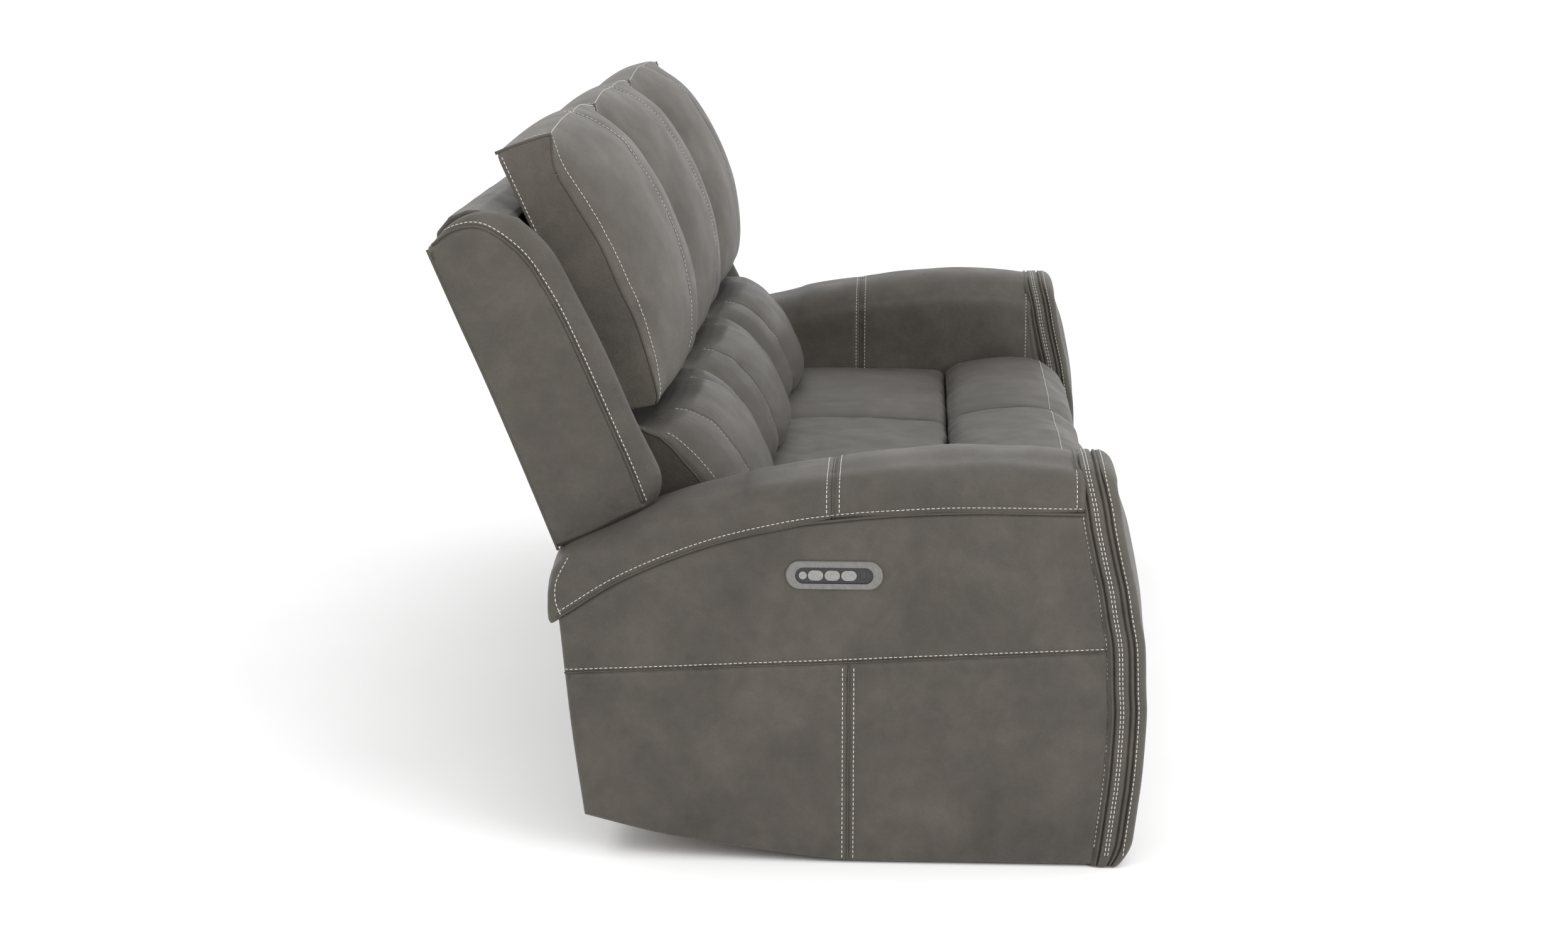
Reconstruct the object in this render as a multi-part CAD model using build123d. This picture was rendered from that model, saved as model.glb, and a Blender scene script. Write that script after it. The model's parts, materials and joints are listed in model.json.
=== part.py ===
from build123d import *
import os
from math import atan, cos, degrees, radians, sin

# Three-seat power reclining sofa. Millimetres, +Z up, -Y is the front, +X is the sitter's left.
# The two end seats recline; the centre seat is fixed. "right" is the sitter's right, at -X.
WIDTH = 2170.0               # over the two outer side panels
ARM_WIDTH = 222.0            # one arm, outer panel face to inner panel face
SEATS = 3
PANEL = 22.0                 # padded plywood side panel
HALF = WIDTH / 2
ARM_INNER = HALF - ARM_WIDTH
SEAT_PITCH = 2 * ARM_INNER / SEATS
SPLIT = SEAT_PITCH / 2       # the joint between the centre seat and an end seat
END_CENTRE = -SEAT_PITCH     # centre line of the right-hand end seat
SIDE_GAP = 2.0               # between an end seat's soft parts and what is beside them
END_LOW = -ARM_INNER + SIDE_GAP
END_HIGH = -SPLIT - SIDE_GAP
CENTRE_HALF = SPLIT - SIDE_GAP

# Side profiles are in (Y, Z).
FLOOR_CLEARANCE = 3.0        # leather panels stop just above the floor
BACK_LEAN = 0.402            # rearward shift of the back for each unit of height
BACK_FOOT = (206.0, 190.0)   # a point on the middle plane of the back panel
BACK_PLY = 18.0              # thickness of the back panel
RECLINE_PIVOT = (215.0, 190.0)
RECLINE_SHAFT_R = 10.0
RUNNING_FIT = 0.05           # radial clearance of a pin in a moving lug
HUB_R = 24.0
HEADREST_PIVOT = (262.0, 648.0)
HEADREST_PIN_R = 5.0
DECK_LOW = 300.0             # wooden seat deck
DECK_HIGH = 322.0
LINK_LENGTH = 200.0          # footrest links, pivot to pivot
LINK_STOWED = 78.0           # angle of a stowed link to the footrest's line of travel, degrees
LINK_PIN_R = 6.0
FOOTREST_PIVOT = (-310.0, 262.0)
WING_OUTER = 1012.0          # outer face of the outside back's wing
WING_THICK = 52.0
CONTROL = (-80.0, 455.0)     # middle of the control panel on the arm's outer face
BUTTON_TRAVEL = 1.0

os.makedirs("parts", exist_ok=True)


def profile(points, low, high):
    """A straight-sided (Y, Z) outline extruded along X from low to high."""
    edge = Polyline(*points, close=True)
    return extrude(Plane.YZ.offset(low) * make_face(edge), amount=high - low)


def outline(edges, low, high):
    """An outline of joined lines and curves, extruded along X from low to high."""
    return extrude(Plane.YZ.offset(low) * make_face(edges), amount=high - low)


def block(x_range, y_range, z_range):
    """A box between two limits on each axis."""
    size = [b - a for a, b in (x_range, y_range, z_range)]
    middle = [(a + b) / 2 for a, b in (x_range, y_range, z_range)]
    return Pos(*middle) * Box(*size)


def rod(centre, radius, low, high):
    """A round bar along X through a (Y, Z) centre."""
    return extrude(Plane.YZ.offset(low) * Pos(*centre) * Circle(radius), amount=high - low)


def link(start, end, half_width, low, high):
    """A flat steel link with round ends between two (Y, Z) pivots."""
    bar = Plane.YZ.offset(low) * SlotCenterToCenter(LINK_LENGTH, 2 * half_width).moved(
        Location(((start[0] + end[0]) / 2, (start[1] + end[1]) / 2), angle_of(start, end)))
    return extrude(bar, amount=high - low)


def angle_of(start, end):
    """Direction from one (Y, Z) point to another, in degrees."""
    vector = Vector(end[0] - start[0], end[1] - start[1])
    return Vector(1, 0).get_signed_angle(vector, Vector(0, 0, 1))


def save(name, *solids):
    """Write one node; several solids stay separate pieces."""
    shape = solids[0] if len(solids) == 1 else Compound(children=list(solids))
    export_step(shape, f"parts/{name}.step")


def mirrored(solids):
    """The same pieces for the sitter's left side."""
    return [mirror(solid, about=Plane.YZ) for solid in solids]


def save_pair(name, *solids):
    """Write a right-hand node and its left-hand mirror image."""
    save(f"right_{name}", *solids)
    save(f"left_{name}", *mirrored(solids))


def back_line(height, offset=0.0):
    """Y of the back panel's middle plane at a height, moved by a normal offset."""
    lean = atan(BACK_LEAN)
    return BACK_FOOT[0] + BACK_LEAN * (height - BACK_FOOT[1]) + offset / cos(lean)


# ---- arms ----------------------------------------------------------------------------------

PANEL_FRONT_TOP = (-450.0, 555.0)
PANEL_FRONT_MIDDLE = (-497.0, 250.0)
PANEL_FRONT_FOOT = (-478.0, FLOOR_CLEARANCE)
PANEL_REAR_TOP = (338.0, 384.0)
PANEL_REAR_FOOT = (304.0, 84.0)
PAD_SEAM = [PANEL_REAR_TOP, (241.0, 445.0), (120.0, 496.0), (-40.0, 534.0), (-220.0, 551.0), PANEL_FRONT_TOP]


def side_panel(low, high):
    """Arm side: flat on the floor in front, swept up behind, and cut to the pad's curve on top."""
    level_end = (-105.0, FLOOR_CLEARANCE)
    sweep_end = (290.0, 66.0)
    edges = Line(PANEL_FRONT_FOOT, level_end)
    edges += Spline(level_end, (185.0, 42.0), sweep_end, tangents=[(1, 0), (1, 0.25)])
    edges += ThreePointArc(sweep_end, (300.0, 72.0), PANEL_REAR_FOOT)
    edges += Line(PANEL_REAR_FOOT, PANEL_REAR_TOP)
    edges += Spline(*PAD_SEAM)
    edges += ThreePointArc(PANEL_FRONT_TOP, PANEL_FRONT_MIDDLE, PANEL_FRONT_FOOT)
    return outline(edges, low, high)


def rear_return():
    """Padded strip that closes the rear end of the arm, turned in from the side panel."""
    thick = 12.0
    low_y, low_z = PANEL_REAR_FOOT
    top_y, top_z = PANEL_REAR_TOP
    points = [(low_y, low_z), (top_y, top_z), (top_y - thick, top_z), (low_y - thick, low_z)]
    return profile(points, -HALF + PANEL, -ARM_INNER - PANEL - 0.3)


def inner_panel():
    """Inside face of the arm, from below the seat up to the pad."""
    low = -ARM_INNER - PANEL
    rear_low = (290.0, 100.0)
    rear_top = (318.0, 388.0)
    front_low = (-490.0, 100.0)
    edges = Line(front_low, rear_low)
    edges += Line(rear_low, rear_top)
    edges += Spline(rear_top, (190.0, 461.0), (40.0, 514.0), (-180.0, 547.0), PANEL_FRONT_TOP)
    edges += ThreePointArc(PANEL_FRONT_TOP, (-494.0, 300.0), front_low)
    return outline(edges, low, -ARM_INNER)


def arm_pad():
    """Pillow pad over the arm, level in front and curving down to the rear."""
    lift = 0.5
    seam = [(y, z + lift) for y, z in PAD_SEAM]
    front_top = (-450.0, 618.0)
    rear_crest = (335.0, 476.0)
    edges = Spline(*seam)
    edges += Line(seam[-1], front_top)
    edges += Spline(front_top, (-268.0, 624.0), (-70.0, 606.0), (66.0, 576.0), (197.0, 531.0), rear_crest)
    edges += ThreePointArc(rear_crest, (351.0, 440.0), seam[0])
    solid = outline(edges, -HALF - 3.0, -ARM_INNER)
    top = solid.faces().filter_by(GeomType.PLANE, reverse=True).sort_by(Axis.Z)[-1]
    long_edges = [e for e in top.edges() if abs(e.tangent_at(0.5).X) < 0.5]
    return fillet(long_edges, 26.0)


def arm_fascia():
    """Bowed front of the arm, from the floor to the front of the pad."""
    step = 1.0
    back_top = (-440.0, 600.0)
    back_bottom = (PANEL_FRONT_FOOT[0] - step, PANEL_FRONT_FOOT[1])
    back_seam = (PANEL_FRONT_TOP[0] - step, PANEL_FRONT_TOP[1])
    cap_rear = (-451.0, 620.0)
    cap_front = (-476.0, 622.0)
    foot_front = (-518.0, 8.0)
    edges = ThreePointArc(back_bottom, (PANEL_FRONT_MIDDLE[0] - step, PANEL_FRONT_MIDDLE[1]), back_seam)
    edges += Line(back_seam, cap_rear)
    edges += Line(cap_rear, cap_front)
    edges += Spline(cap_front, (-499.0, 601.0), (-529.0, 485.0), (-549.0, 340.0), (-550.0, 200.0), (-538.0, 60.0),
                    foot_front)
    edges += Line(foot_front, (-508.0, FLOOR_CLEARANCE))
    edges += Line((-508.0, FLOOR_CLEARANCE), back_bottom)
    return outline(edges, -HALF - 2.0, -ARM_INNER)


def arm_frame():
    """Plywood core of the arm and the posts that hold the two side panels off it."""
    core_low, core_high = -985.0, -963.0
    points = [(-455, 10), (-120, 10), (180, 60), (276, 90), (308, 380), (120, 480), (-60, 520), (-435, 540)]
    solids = [profile(points, core_low, core_high)]
    for front in (-440.0, -250.0, -60.0, 130.0):
        across = (front, front + 40.0)
        solids.append(block((-HALF + PANEL, core_low), across, (100.0, 440.0)))
        solids.append(block((core_high, -ARM_INNER - PANEL), across, (100.0, 440.0)))
    return solids


def control_panel():
    """Stadium bezel, black insert and its buttons on the arm's outer face."""
    face = -HALF
    frame = Plane.YZ * Pos(*CONTROL)
    bezel = extrude(Plane.YZ.offset(face - 4.0) * Pos(*CONTROL) * SlotOverall(146.0, 44.0), amount=4.0)
    window = extrude(Plane.YZ.offset(face - 4.0) * Pos(*CONTROL) * SlotOverall(117.0, 25.0), amount=4.0)
    rim = chamfer(bezel.faces().sort_by(Axis.X)[0].edges(), 1.5) - window
    insert = extrude(Plane.YZ.offset(face - 1.5) * Pos(*CONTROL) * SlotOverall(116.6, 24.6), amount=6.0)
    buttons = []
    for name, centre, shape in button_layout():
        hole = extrude(Plane.YZ.offset(face - 1.5) * Pos(*centre) * shape(0.3), amount=6.0)
        insert -= hole
        key = extrude(Plane.YZ.offset(face - 3.0) * Pos(*centre) * shape(0.0), amount=6.0)
        buttons.append((name, key))
    slot = block((face - 1.5, face + 2.5), (CONTROL[0] - 47.0, CONTROL[0] - 42.5), (CONTROL[1] - 6.0, CONTROL[1] + 6.0))
    insert -= slot
    pocket = extrude(Plane.YZ.offset(face) * Pos(*CONTROL) * SlotOverall(117.0, 25.0), amount=9.0)
    return rim, insert, buttons, pocket


def button_layout():
    """Name, (Y, Z) centre and outline maker of each button, rear to front."""
    def round_key(grow):
        return Circle(6.0 + grow)

    def pill_key(grow):
        return SlotOverall(23.0 + 2 * grow, 15.5 + 2 * grow)

    y, z = CONTROL
    return [
        ("memory_button", (y + 47.0, z), round_key),
        ("recline_button", (y + 28.0, z), pill_key),
        ("footrest_button", (y + 3.0, z), pill_key),
        ("headrest_button", (y - 22.0, z), pill_key),
    ]


def build_arms():
    rim, insert, buttons, pocket = control_panel()
    save_pair("arm_side_panel", side_panel(-HALF, -HALF + PANEL) + rear_return() - pocket)
    save_pair("arm_inner_panel", inner_panel())
    save_pair("arm_pad", arm_pad())
    save_pair("arm_fascia", arm_fascia())
    save("arm_frames", *arm_frame(), *mirrored(arm_frame()))
    save("control_bezels", rim, *mirrored([rim]))
    save("control_inserts", insert, *mirrored([insert]))
    for name, key in buttons:
        save_pair(name, key)


# ---- base ----------------------------------------------------------------------------------

RAIL_LOW = 50.0
RAIL_HIGH = 90.0
FRONT_RAIL = (-300.0, -260.0)
REAR_RAIL = (195.0, 235.0)
RUNNER_HIGH = 110.0
SIDE_PLATE_OFFSET = 200.0
SIDE_PLATE = 12.0
LUG_OUTER = 6.0              # thickness of a recline bracket


def build_base():
    span = ARM_INNER - 0.1
    rails = [block((-span, span), rail, (RAIL_LOW, RAIL_HIGH)) for rail in (FRONT_RAIL, REAR_RAIL)]
    save("base_rails", *rails)
    runners = []
    for offset in (-SIDE_PLATE_OFFSET, SIDE_PLATE_OFFSET):
        x = END_CENTRE + offset
        runners.append(block((x - 15.0, x + 15.0), (FRONT_RAIL[0], REAR_RAIL[1]), (RAIL_HIGH, RUNNER_HIGH)))
    save("seat_runners", *runners, *mirrored(runners))
    feet = []
    for x, y, top in ((974.0, -420.0, 10.0), (974.0, -130.0, 10.0), (760.0, 215.0, RAIL_LOW),
                      (300.0, 215.0, RAIL_LOW), (300.0, -280.0, RAIL_LOW)):
        feet.append(Pos(-x, y, top / 2) * Cylinder(20.0, top))
    save("glides", *feet, *mirrored(feet))
    brackets = []
    shafts = []
    for low, high in ((-ARM_INNER + 1.5, -ARM_INNER + 1.5 + LUG_OUTER), (-SPLIT - LUG_OUTER - 1.5, -SPLIT - 1.5)):
        plate = profile([(195, RAIL_HIGH), (235, RAIL_HIGH), (235, 214), (195, 214)], low, high)
        brackets.append(plate - rod(RECLINE_PIVOT, RECLINE_SHAFT_R, low, high))
    shafts.append(rod(RECLINE_PIVOT, RECLINE_SHAFT_R, -ARM_INNER + 1.5, -SPLIT - 1.5))
    save("recline_brackets", *brackets, *mirrored(brackets))
    save("recline_shafts", *shafts, *mirrored(shafts))
    build_drives()


ACTUATOR_Z = 120.0
ROD_END = 190.0


def build_drives():
    """Linear actuators for the two recliners, and the power box with its inlet."""
    body = block((END_CENTRE - 26, END_CENTRE + 26), (-300, -255), (RAIL_HIGH, 146))
    body += Plane.XZ.offset(255) * Pos(END_CENTRE, ACTUATOR_Z) * extrude(Circle(22), amount=-355)
    body += Pos(END_CENTRE, -225, 170) * Cylinder(24, 60)
    bore = Plane.XZ.offset(100) * Pos(END_CENTRE, ACTUATOR_Z) * extrude(Circle(9 + RUNNING_FIT), amount=-200)
    body -= bore
    save("recline_actuators", body, *mirrored([body]))
    piston = Plane.XZ.offset(40) * Pos(END_CENTRE, ACTUATOR_Z) * extrude(Circle(9), amount=-40 - ROD_END)
    save_pair("recline_piston", piston)
    box = fillet(block((-90, 90), (60, 160), (DECK_LOW - 56, DECK_LOW)).edges().filter_by(Axis.Z), 8)
    inlet = block((-14, 14), (148, 160), (DECK_LOW - 38, DECK_LOW - 18))
    pins = [block((x - 1, x + 1), (148, 157), (DECK_LOW - 30, DECK_LOW - 26)) for x in (-5, 5)]
    save("power_box", (box - inlet) + pins)


# ---- seats ---------------------------------------------------------------------------------

SEAT_CUSHION = [(-261, 322.4), (-261, 424), (-232, 433), (0, 436), (140, 434), (190, 424), (203, 400), (203, 322.4)]


def bolster(low, high):
    """Front roll of a seat, standing a little higher than the cushion behind it."""
    crest = [(-265.0, 424.0), (-300.0, 450.0), (-385.0, 465.0), (-460.0, 457.0), (-508.0, 425.0), (-521.0, 380.0)]
    edges = Spline(*crest)
    edges += ThreePointArc(crest[-1], (-514.0, 359.0), (-498.0, 354.0))
    edges += Line((-498.0, 354.0), (-462.0, 354.0))
    edges += Line((-462.0, 354.0), (-462.0, 322.4))
    edges += Line((-462.0, 322.4), (-265.0, 322.4))
    edges += Line((-265.0, 322.4), crest[0])
    return outline(edges, low, high)


def build_end_seat():
    """The right-hand reclining seat on its runners, and its footrest."""
    plates = []
    pivots = []
    for offset in (-SIDE_PLATE_OFFSET, SIDE_PLATE_OFFSET):
        x = END_CENTRE + offset
        plate = block((x - SIDE_PLATE, x + SIDE_PLATE), (-340, 165), (RUNNER_HIGH + 0.4, DECK_LOW))
        pivot = rod(FOOTREST_PIVOT, LINK_PIN_R, x + side(offset) * SIDE_PLATE, x + side(offset) * (SIDE_PLATE + 6.0))
        plates.append(plate)
        pivots.append(pivot)
    deck = block((END_LOW + 2, END_HIGH - 2), (-460, 200), (DECK_LOW, DECK_HIGH))
    frame = [plate + pivot for plate, pivot in zip(plates, pivots)]
    save_pair("seat_frame", deck, *frame)
    save_pair("seat_cushion", profile(SEAT_CUSHION, END_LOW, END_HIGH))
    save_pair("seat_bolster", bolster(END_LOW, END_HIGH))
    build_footrest()


def side(offset):
    """-1 or 1, the way an offset points."""
    return 1.0 if offset > 0 else -1.0


def footrest_points():
    """Stowed knee and board pivots of the two-bar footrest linkage."""
    y, z = FOOTREST_PIVOT
    drop = LINK_LENGTH * sin(radians(LINK_STOWED))
    reach = LINK_LENGTH * cos(radians(LINK_STOWED))
    return (y - reach, z - drop), (y - 2 * reach, z)


def build_footrest():
    """Two-bar linkage on both sides of the seat frame, carrying the padded front board."""
    knee, board_pivot = footrest_points()
    rear_links = []
    front_links = []
    brackets = []
    for offset in (-SIDE_PLATE_OFFSET, SIDE_PLATE_OFFSET):
        out = side(offset)
        x = END_CENTRE + offset
        faces = [x + out * (SIDE_PLATE + step) for step in (0.5, 5.5, 6.0, 11.0, 11.5, 16.5)]
        bar = link(FOOTREST_PIVOT, knee, 12.0, *sorted(faces[0:2]))
        bar -= rod(FOOTREST_PIVOT, LINK_PIN_R + RUNNING_FIT, *sorted(faces[0:2]))
        bar += rod(knee, LINK_PIN_R, *sorted((faces[0], faces[3])))
        rear_links.append(bar)
        bar = link(knee, board_pivot, 12.0, *sorted(faces[2:4]))
        bar -= rod(knee, LINK_PIN_R + RUNNING_FIT, *sorted(faces[2:4]))
        bar += rod(board_pivot, LINK_PIN_R, *sorted((faces[2], faces[5])))
        front_links.append(bar)
        y, z = board_pivot
        ear = profile([(y + 14, z - 14), (y + 14, z + 14), (-476, z + 40), (-476, z - 60)], *sorted(faces[4:6]))
        brackets.append(ear - rod(board_pivot, LINK_PIN_R + RUNNING_FIT, *sorted(faces[4:6])))
    save_pair("footrest_rear_links", *rear_links)
    save_pair("footrest_front_links", *front_links)
    save_pair("footrest_brackets", *brackets)
    save_pair("footrest_board", footrest_pad(END_LOW, END_HIGH))


def footrest_pad(low, high):
    """Padded board that is the front of the seat when the footrest is stowed."""
    board = block((low, high), (-521, -476), (55, 322))
    return fillet(board.faces().sort_by(Axis.Y)[0].edges(), 14)


def build_centre_seat():
    plates = []
    for x in (-SIDE_PLATE_OFFSET, SIDE_PLATE_OFFSET):
        plates.append(block((x - SIDE_PLATE, x + SIDE_PLATE), FRONT_RAIL[:1] + (REAR_RAIL[0],), (RAIL_HIGH, DECK_LOW)))
    deck = block((-CENTRE_HALF + 2, CENTRE_HALF - 2), (-475, 185), (DECK_LOW, DECK_HIGH))
    save("centre_seat_frame", deck, *plates)
    save("centre_seat_cushion", profile(SEAT_CUSHION, -CENTRE_HALF, CENTRE_HALF))
    save("centre_seat_bolster", bolster(-CENTRE_HALF, CENTRE_HALF))
    save("centre_front_panel", footrest_pad(-CENTRE_HALF, CENTRE_HALF))


# ---- backs ---------------------------------------------------------------------------------

BACK_TOP = 900.0
SHELL_REAR_SHIFT = 42.0      # the outside back's rear face, measured along Y from the middle plane
SHELL_FOOT = 250.0
SKIRT_FOOT = 135.0


def back_panel(low, high):
    """Leaning plywood back."""
    half = BACK_PLY / 2
    foot = 225.0
    points = [(back_line(foot, -half), foot), (back_line(BACK_TOP, -half), BACK_TOP),
              (back_line(BACK_TOP, half), BACK_TOP), (back_line(foot, half), foot)]
    return profile(points, low, high)


def headrest_arms(centre):
    """Two steel arms from the back panel to the headrest pivot, with the pivot bosses."""
    arms = []
    y, z = HEADREST_PIVOT
    for offset in (-160.0, 160.0):
        low = centre + offset - 8.0
        low_end = (back_line(z - 9, -BACK_PLY / 2), z - 9)
        high_end = (back_line(z + 50, -BACK_PLY / 2), z + 50)
        arm = profile([(y - 8, z - 9), low_end, high_end, (y + 6, z + 9)], low, low + 16.0)
        arm += rod(HEADREST_PIVOT, 10.0, low, low + 16.0)
        arms.append(arm + rod(HEADREST_PIVOT, HEADREST_PIN_R, low - 8.0, low + 24.0))
    return arms


def outside_back_section(low, high, foot):
    """Rear cover of the back with its sloping top cap, from a height upwards."""
    half = BACK_PLY / 2 + 0.3
    rear = SHELL_REAR_SHIFT
    points = [(back_line(foot, half), foot), (back_line(BACK_TOP + 8, half), BACK_TOP + 8), (446, 950), (440, 978),
              (464, 985), (482, 984), (back_line(943) + rear - 14, 957), (back_line(935) + rear, 935),
              (back_line(foot) + rear, foot)]
    return profile(points, low, high)


def skirt(low, high):
    """Upright foot of the rear cover, which hides the recliner's drive."""
    points = [(back_line(SHELL_FOOT + 50.0) + SHELL_REAR_SHIFT, SHELL_FOOT + 50.0), (284, SKIRT_FOOT), (270, SKIRT_FOOT),
              (266, SHELL_FOOT), (back_line(SHELL_FOOT) + SHELL_REAR_SHIFT - 10.0, SHELL_FOOT + 20.0)]
    return profile(points, low, high)


def wing():
    """Padded side wing of the outside back, above the arm pad."""
    foot_rear = (back_line(480.0) + SHELL_REAR_SHIFT, 480.0)
    foot_front = (200.0, 545.0)
    nose = (191.0, 588.0)
    cap_front = (464.0, 985.0)
    cap_rear = (back_line(935) + SHELL_REAR_SHIFT, 935.0)
    edges = Line(foot_rear, foot_front)
    edges += Line(foot_front, nose)
    edges += Spline(nose, (225.0, 668.0), (269.0, 771.0), (310.0, 855.0), (351.0, 931.0), (400.0, 972.0), cap_front)
    edges += Line(cap_front, (482.0, 984.0))
    edges += Line((482.0, 984.0), cap_rear)
    edges += Line(cap_rear, foot_rear)
    return outline(edges, -WING_OUTER, -WING_OUTER + WING_THICK)


def lumbar(low, high):
    """Lower back cushion, rounded forward over the rear of the seat."""
    front = [(172.0, 646.0), (138.0, 635.0), (98.0, 595.0), (59.0, 532.0), (44.0, 483.0), (46.0, 455.0)]
    foot = 441.0
    edges = Spline(*front)
    edges += Line(front[-1], (62.0, foot))
    edges += Line((62.0, foot), (back_line(foot, -9.5), foot))
    edges += Line((back_line(foot, -9.5), foot), (back_line(590, -9.5), 590.0))
    edges += Line((back_line(590, -9.5), 590.0), (225.0, 626.0))
    edges += Line((225.0, 626.0), front[0])
    return outline(edges, low, high)


HEADREST_REAR_FOOT = (276.0, 664.0)
HEADREST_REAR_TOP = (449.0, 1061.0)


def headrest(low, high):
    """Upper back cushion with a full, forward-leaning face."""
    front = [(366.0, 1096.0), (300.0, 1064.0), (246.0, 1000.0), (205.0, 920.0), (181.0, 840.0), (172.0, 765.0),
             (180.0, 706.0), (204.0, 676.0)]
    edges = Spline(*front)
    edges += Line(front[-1], (235.0, 664.0))
    edges += Line((235.0, 664.0), HEADREST_REAR_FOOT)
    edges += Line(HEADREST_REAR_FOOT, HEADREST_REAR_TOP)
    edges += ThreePointArc(HEADREST_REAR_TOP, (414.0, 1098.0), front[0])
    return outline(edges, low, high)


def headrest_plate(centre):
    """Steel plate behind the headrest cushion, with lugs on the headrest pivot."""
    gap = 0.3
    thick = 4.0
    (foot_y, foot_z), (top_y, top_z) = HEADREST_REAR_FOOT, HEADREST_REAR_TOP
    slope = (top_y - foot_y) / (top_z - foot_z)
    high_z = 1000.0
    high_y = foot_y + slope * (high_z - foot_z)
    points = [(foot_y + gap, foot_z), (high_y + gap, high_z), (high_y + gap + thick, high_z),
              (foot_y + gap + thick, foot_z)]
    plate = profile(points, centre - 220, centre + 220)
    y, z = HEADREST_PIVOT
    for offset in (-160.0, 160.0):
        for lug_low in (offset - 15.0, offset + 9.0):
            low = centre + lug_low
            top_z = foot_z + 30.0
            top_y = foot_y + slope * 30.0 + gap
            lug = profile([(y - 6, z - 9), (y + 12, z - 9), (top_y + 10, top_z), (top_y, top_z),
                           (foot_y + gap, foot_z - gap), (y - 6, z + 8)], low, low + 6.0)
            plate += lug + rod(HEADREST_PIVOT, 9.0, low, low + 6.0)
    return plate - rod(HEADREST_PIVOT, HEADREST_PIN_R + RUNNING_FIT, centre - 200, centre + 200)


def build_end_back():
    """The right-hand reclining back on its shaft."""
    low = END_LOW + 7.0
    high = END_HIGH - 7.0
    hub = rod(RECLINE_PIVOT, HUB_R, low, high)
    crank = profile([(203, 190), (227, 190), (225, 108), (205, 108)], END_CENTRE - 8, END_CENTRE + 8)
    web = profile([(195, 200), (235, 200), (back_line(240, 9), 240), (back_line(240, -9), 240)], low, high)
    panel = back_panel(low, high) + hub + web + crank
    panel -= rod(RECLINE_PIVOT, RECLINE_SHAFT_R + RUNNING_FIT, low, high)
    for arm in headrest_arms(END_CENTRE):
        panel += arm
    save_pair("back_frame", panel)
    shell = outside_back_section(END_LOW, END_HIGH, SHELL_FOOT)
    shell += skirt(END_LOW, END_HIGH)
    shell += outside_back_section(-WING_OUTER, END_LOW, 480.0)
    shell += wing()
    save_pair("outside_back", shell)
    save_pair("lumbar_cushion", lumbar(END_LOW, END_HIGH))
    save_pair("headrest_plate", headrest_plate(END_CENTRE))
    save_pair("headrest_cushion", headrest(END_LOW, END_HIGH))


def build_centre_back():
    """The fixed back of the centre seat, standing on the rear rail."""
    low = -CENTRE_HALF + 3.0
    high = CENTRE_HALF - 3.0
    foot_points = [(197, RAIL_HIGH), (233, RAIL_HIGH), (back_line(240, 9), 240), (back_line(240, -9), 240)]
    foot = profile(foot_points, low, high)
    rear_half = BACK_PLY / 2
    (foot_y, foot_z), (top_y, top_z) = HEADREST_REAR_FOOT, HEADREST_REAR_TOP
    block_top = foot_y + (top_y - foot_y) / (top_z - foot_z) * (860.0 - foot_z)
    spacer_points = [(foot_y + 1, foot_z + 1), (block_top + 1, 860), (back_line(860, -rear_half), 860),
                     (back_line(665, -rear_half), 665)]
    spacer = profile(spacer_points, -150, 150)
    save("centre_back_frame", back_panel(low, high) + foot + spacer)
    shell = outside_back_section(-CENTRE_HALF, CENTRE_HALF, SHELL_FOOT)
    save("centre_outside_back", shell + skirt(-CENTRE_HALF, CENTRE_HALF))
    save("centre_lumbar_cushion", lumbar(-CENTRE_HALF, CENTRE_HALF))
    save("centre_headrest_cushion", headrest(-CENTRE_HALF, CENTRE_HALF))


build_base()
build_arms()
build_end_seat()
build_centre_seat()
build_end_back()
build_centre_back()
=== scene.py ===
import json
import math

import bmesh
import bpy
import numpy as np
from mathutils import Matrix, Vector
from mathutils.bvhtree import BVHTree


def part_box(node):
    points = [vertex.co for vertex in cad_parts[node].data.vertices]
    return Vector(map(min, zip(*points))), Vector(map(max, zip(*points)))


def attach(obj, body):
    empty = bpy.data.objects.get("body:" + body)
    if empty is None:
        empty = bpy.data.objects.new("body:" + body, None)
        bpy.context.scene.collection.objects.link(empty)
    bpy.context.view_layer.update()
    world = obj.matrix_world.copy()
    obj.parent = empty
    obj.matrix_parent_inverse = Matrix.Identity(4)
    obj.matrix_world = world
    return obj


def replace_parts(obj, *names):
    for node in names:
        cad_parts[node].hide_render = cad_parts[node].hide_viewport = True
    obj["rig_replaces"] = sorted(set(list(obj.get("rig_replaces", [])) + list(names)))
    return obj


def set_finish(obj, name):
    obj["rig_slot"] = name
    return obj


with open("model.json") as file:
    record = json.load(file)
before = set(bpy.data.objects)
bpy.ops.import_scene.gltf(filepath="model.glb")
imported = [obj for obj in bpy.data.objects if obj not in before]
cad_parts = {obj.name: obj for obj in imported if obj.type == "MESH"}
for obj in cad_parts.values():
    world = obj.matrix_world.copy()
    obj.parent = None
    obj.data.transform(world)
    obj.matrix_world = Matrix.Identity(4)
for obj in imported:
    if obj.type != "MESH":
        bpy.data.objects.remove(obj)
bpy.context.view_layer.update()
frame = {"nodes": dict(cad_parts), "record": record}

# Metres, +Z up, -Y is the front, +X is the sitter's left. Side profiles are in (Y, Z).
# Pieces of the right-hand half (X < 0) are made first and mirrored for the left-hand half.
ARM_INNER = -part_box("right_arm_inner_panel")[1][0]
SPLIT = ARM_INNER / 3           # the three seats are equally wide, and the middle one ends here
GAP = 0.002
HAIR = 0.0006                   # half the gap between neighbouring cushions
CUSHION_WIDTH = 0.573           # of one seat, which sets the size of folds near its sides
END_RANGE = (-ARM_INNER + GAP, -SPLIT - HAIR)
CENTRE_RANGE = (-SPLIT + HAIR, SPLIT - HAIR)
ROLL_RANGE = (END_RANGE[0] + 0.004, END_RANGE[1])   # the seat roll slides past the arm's stitching
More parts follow.
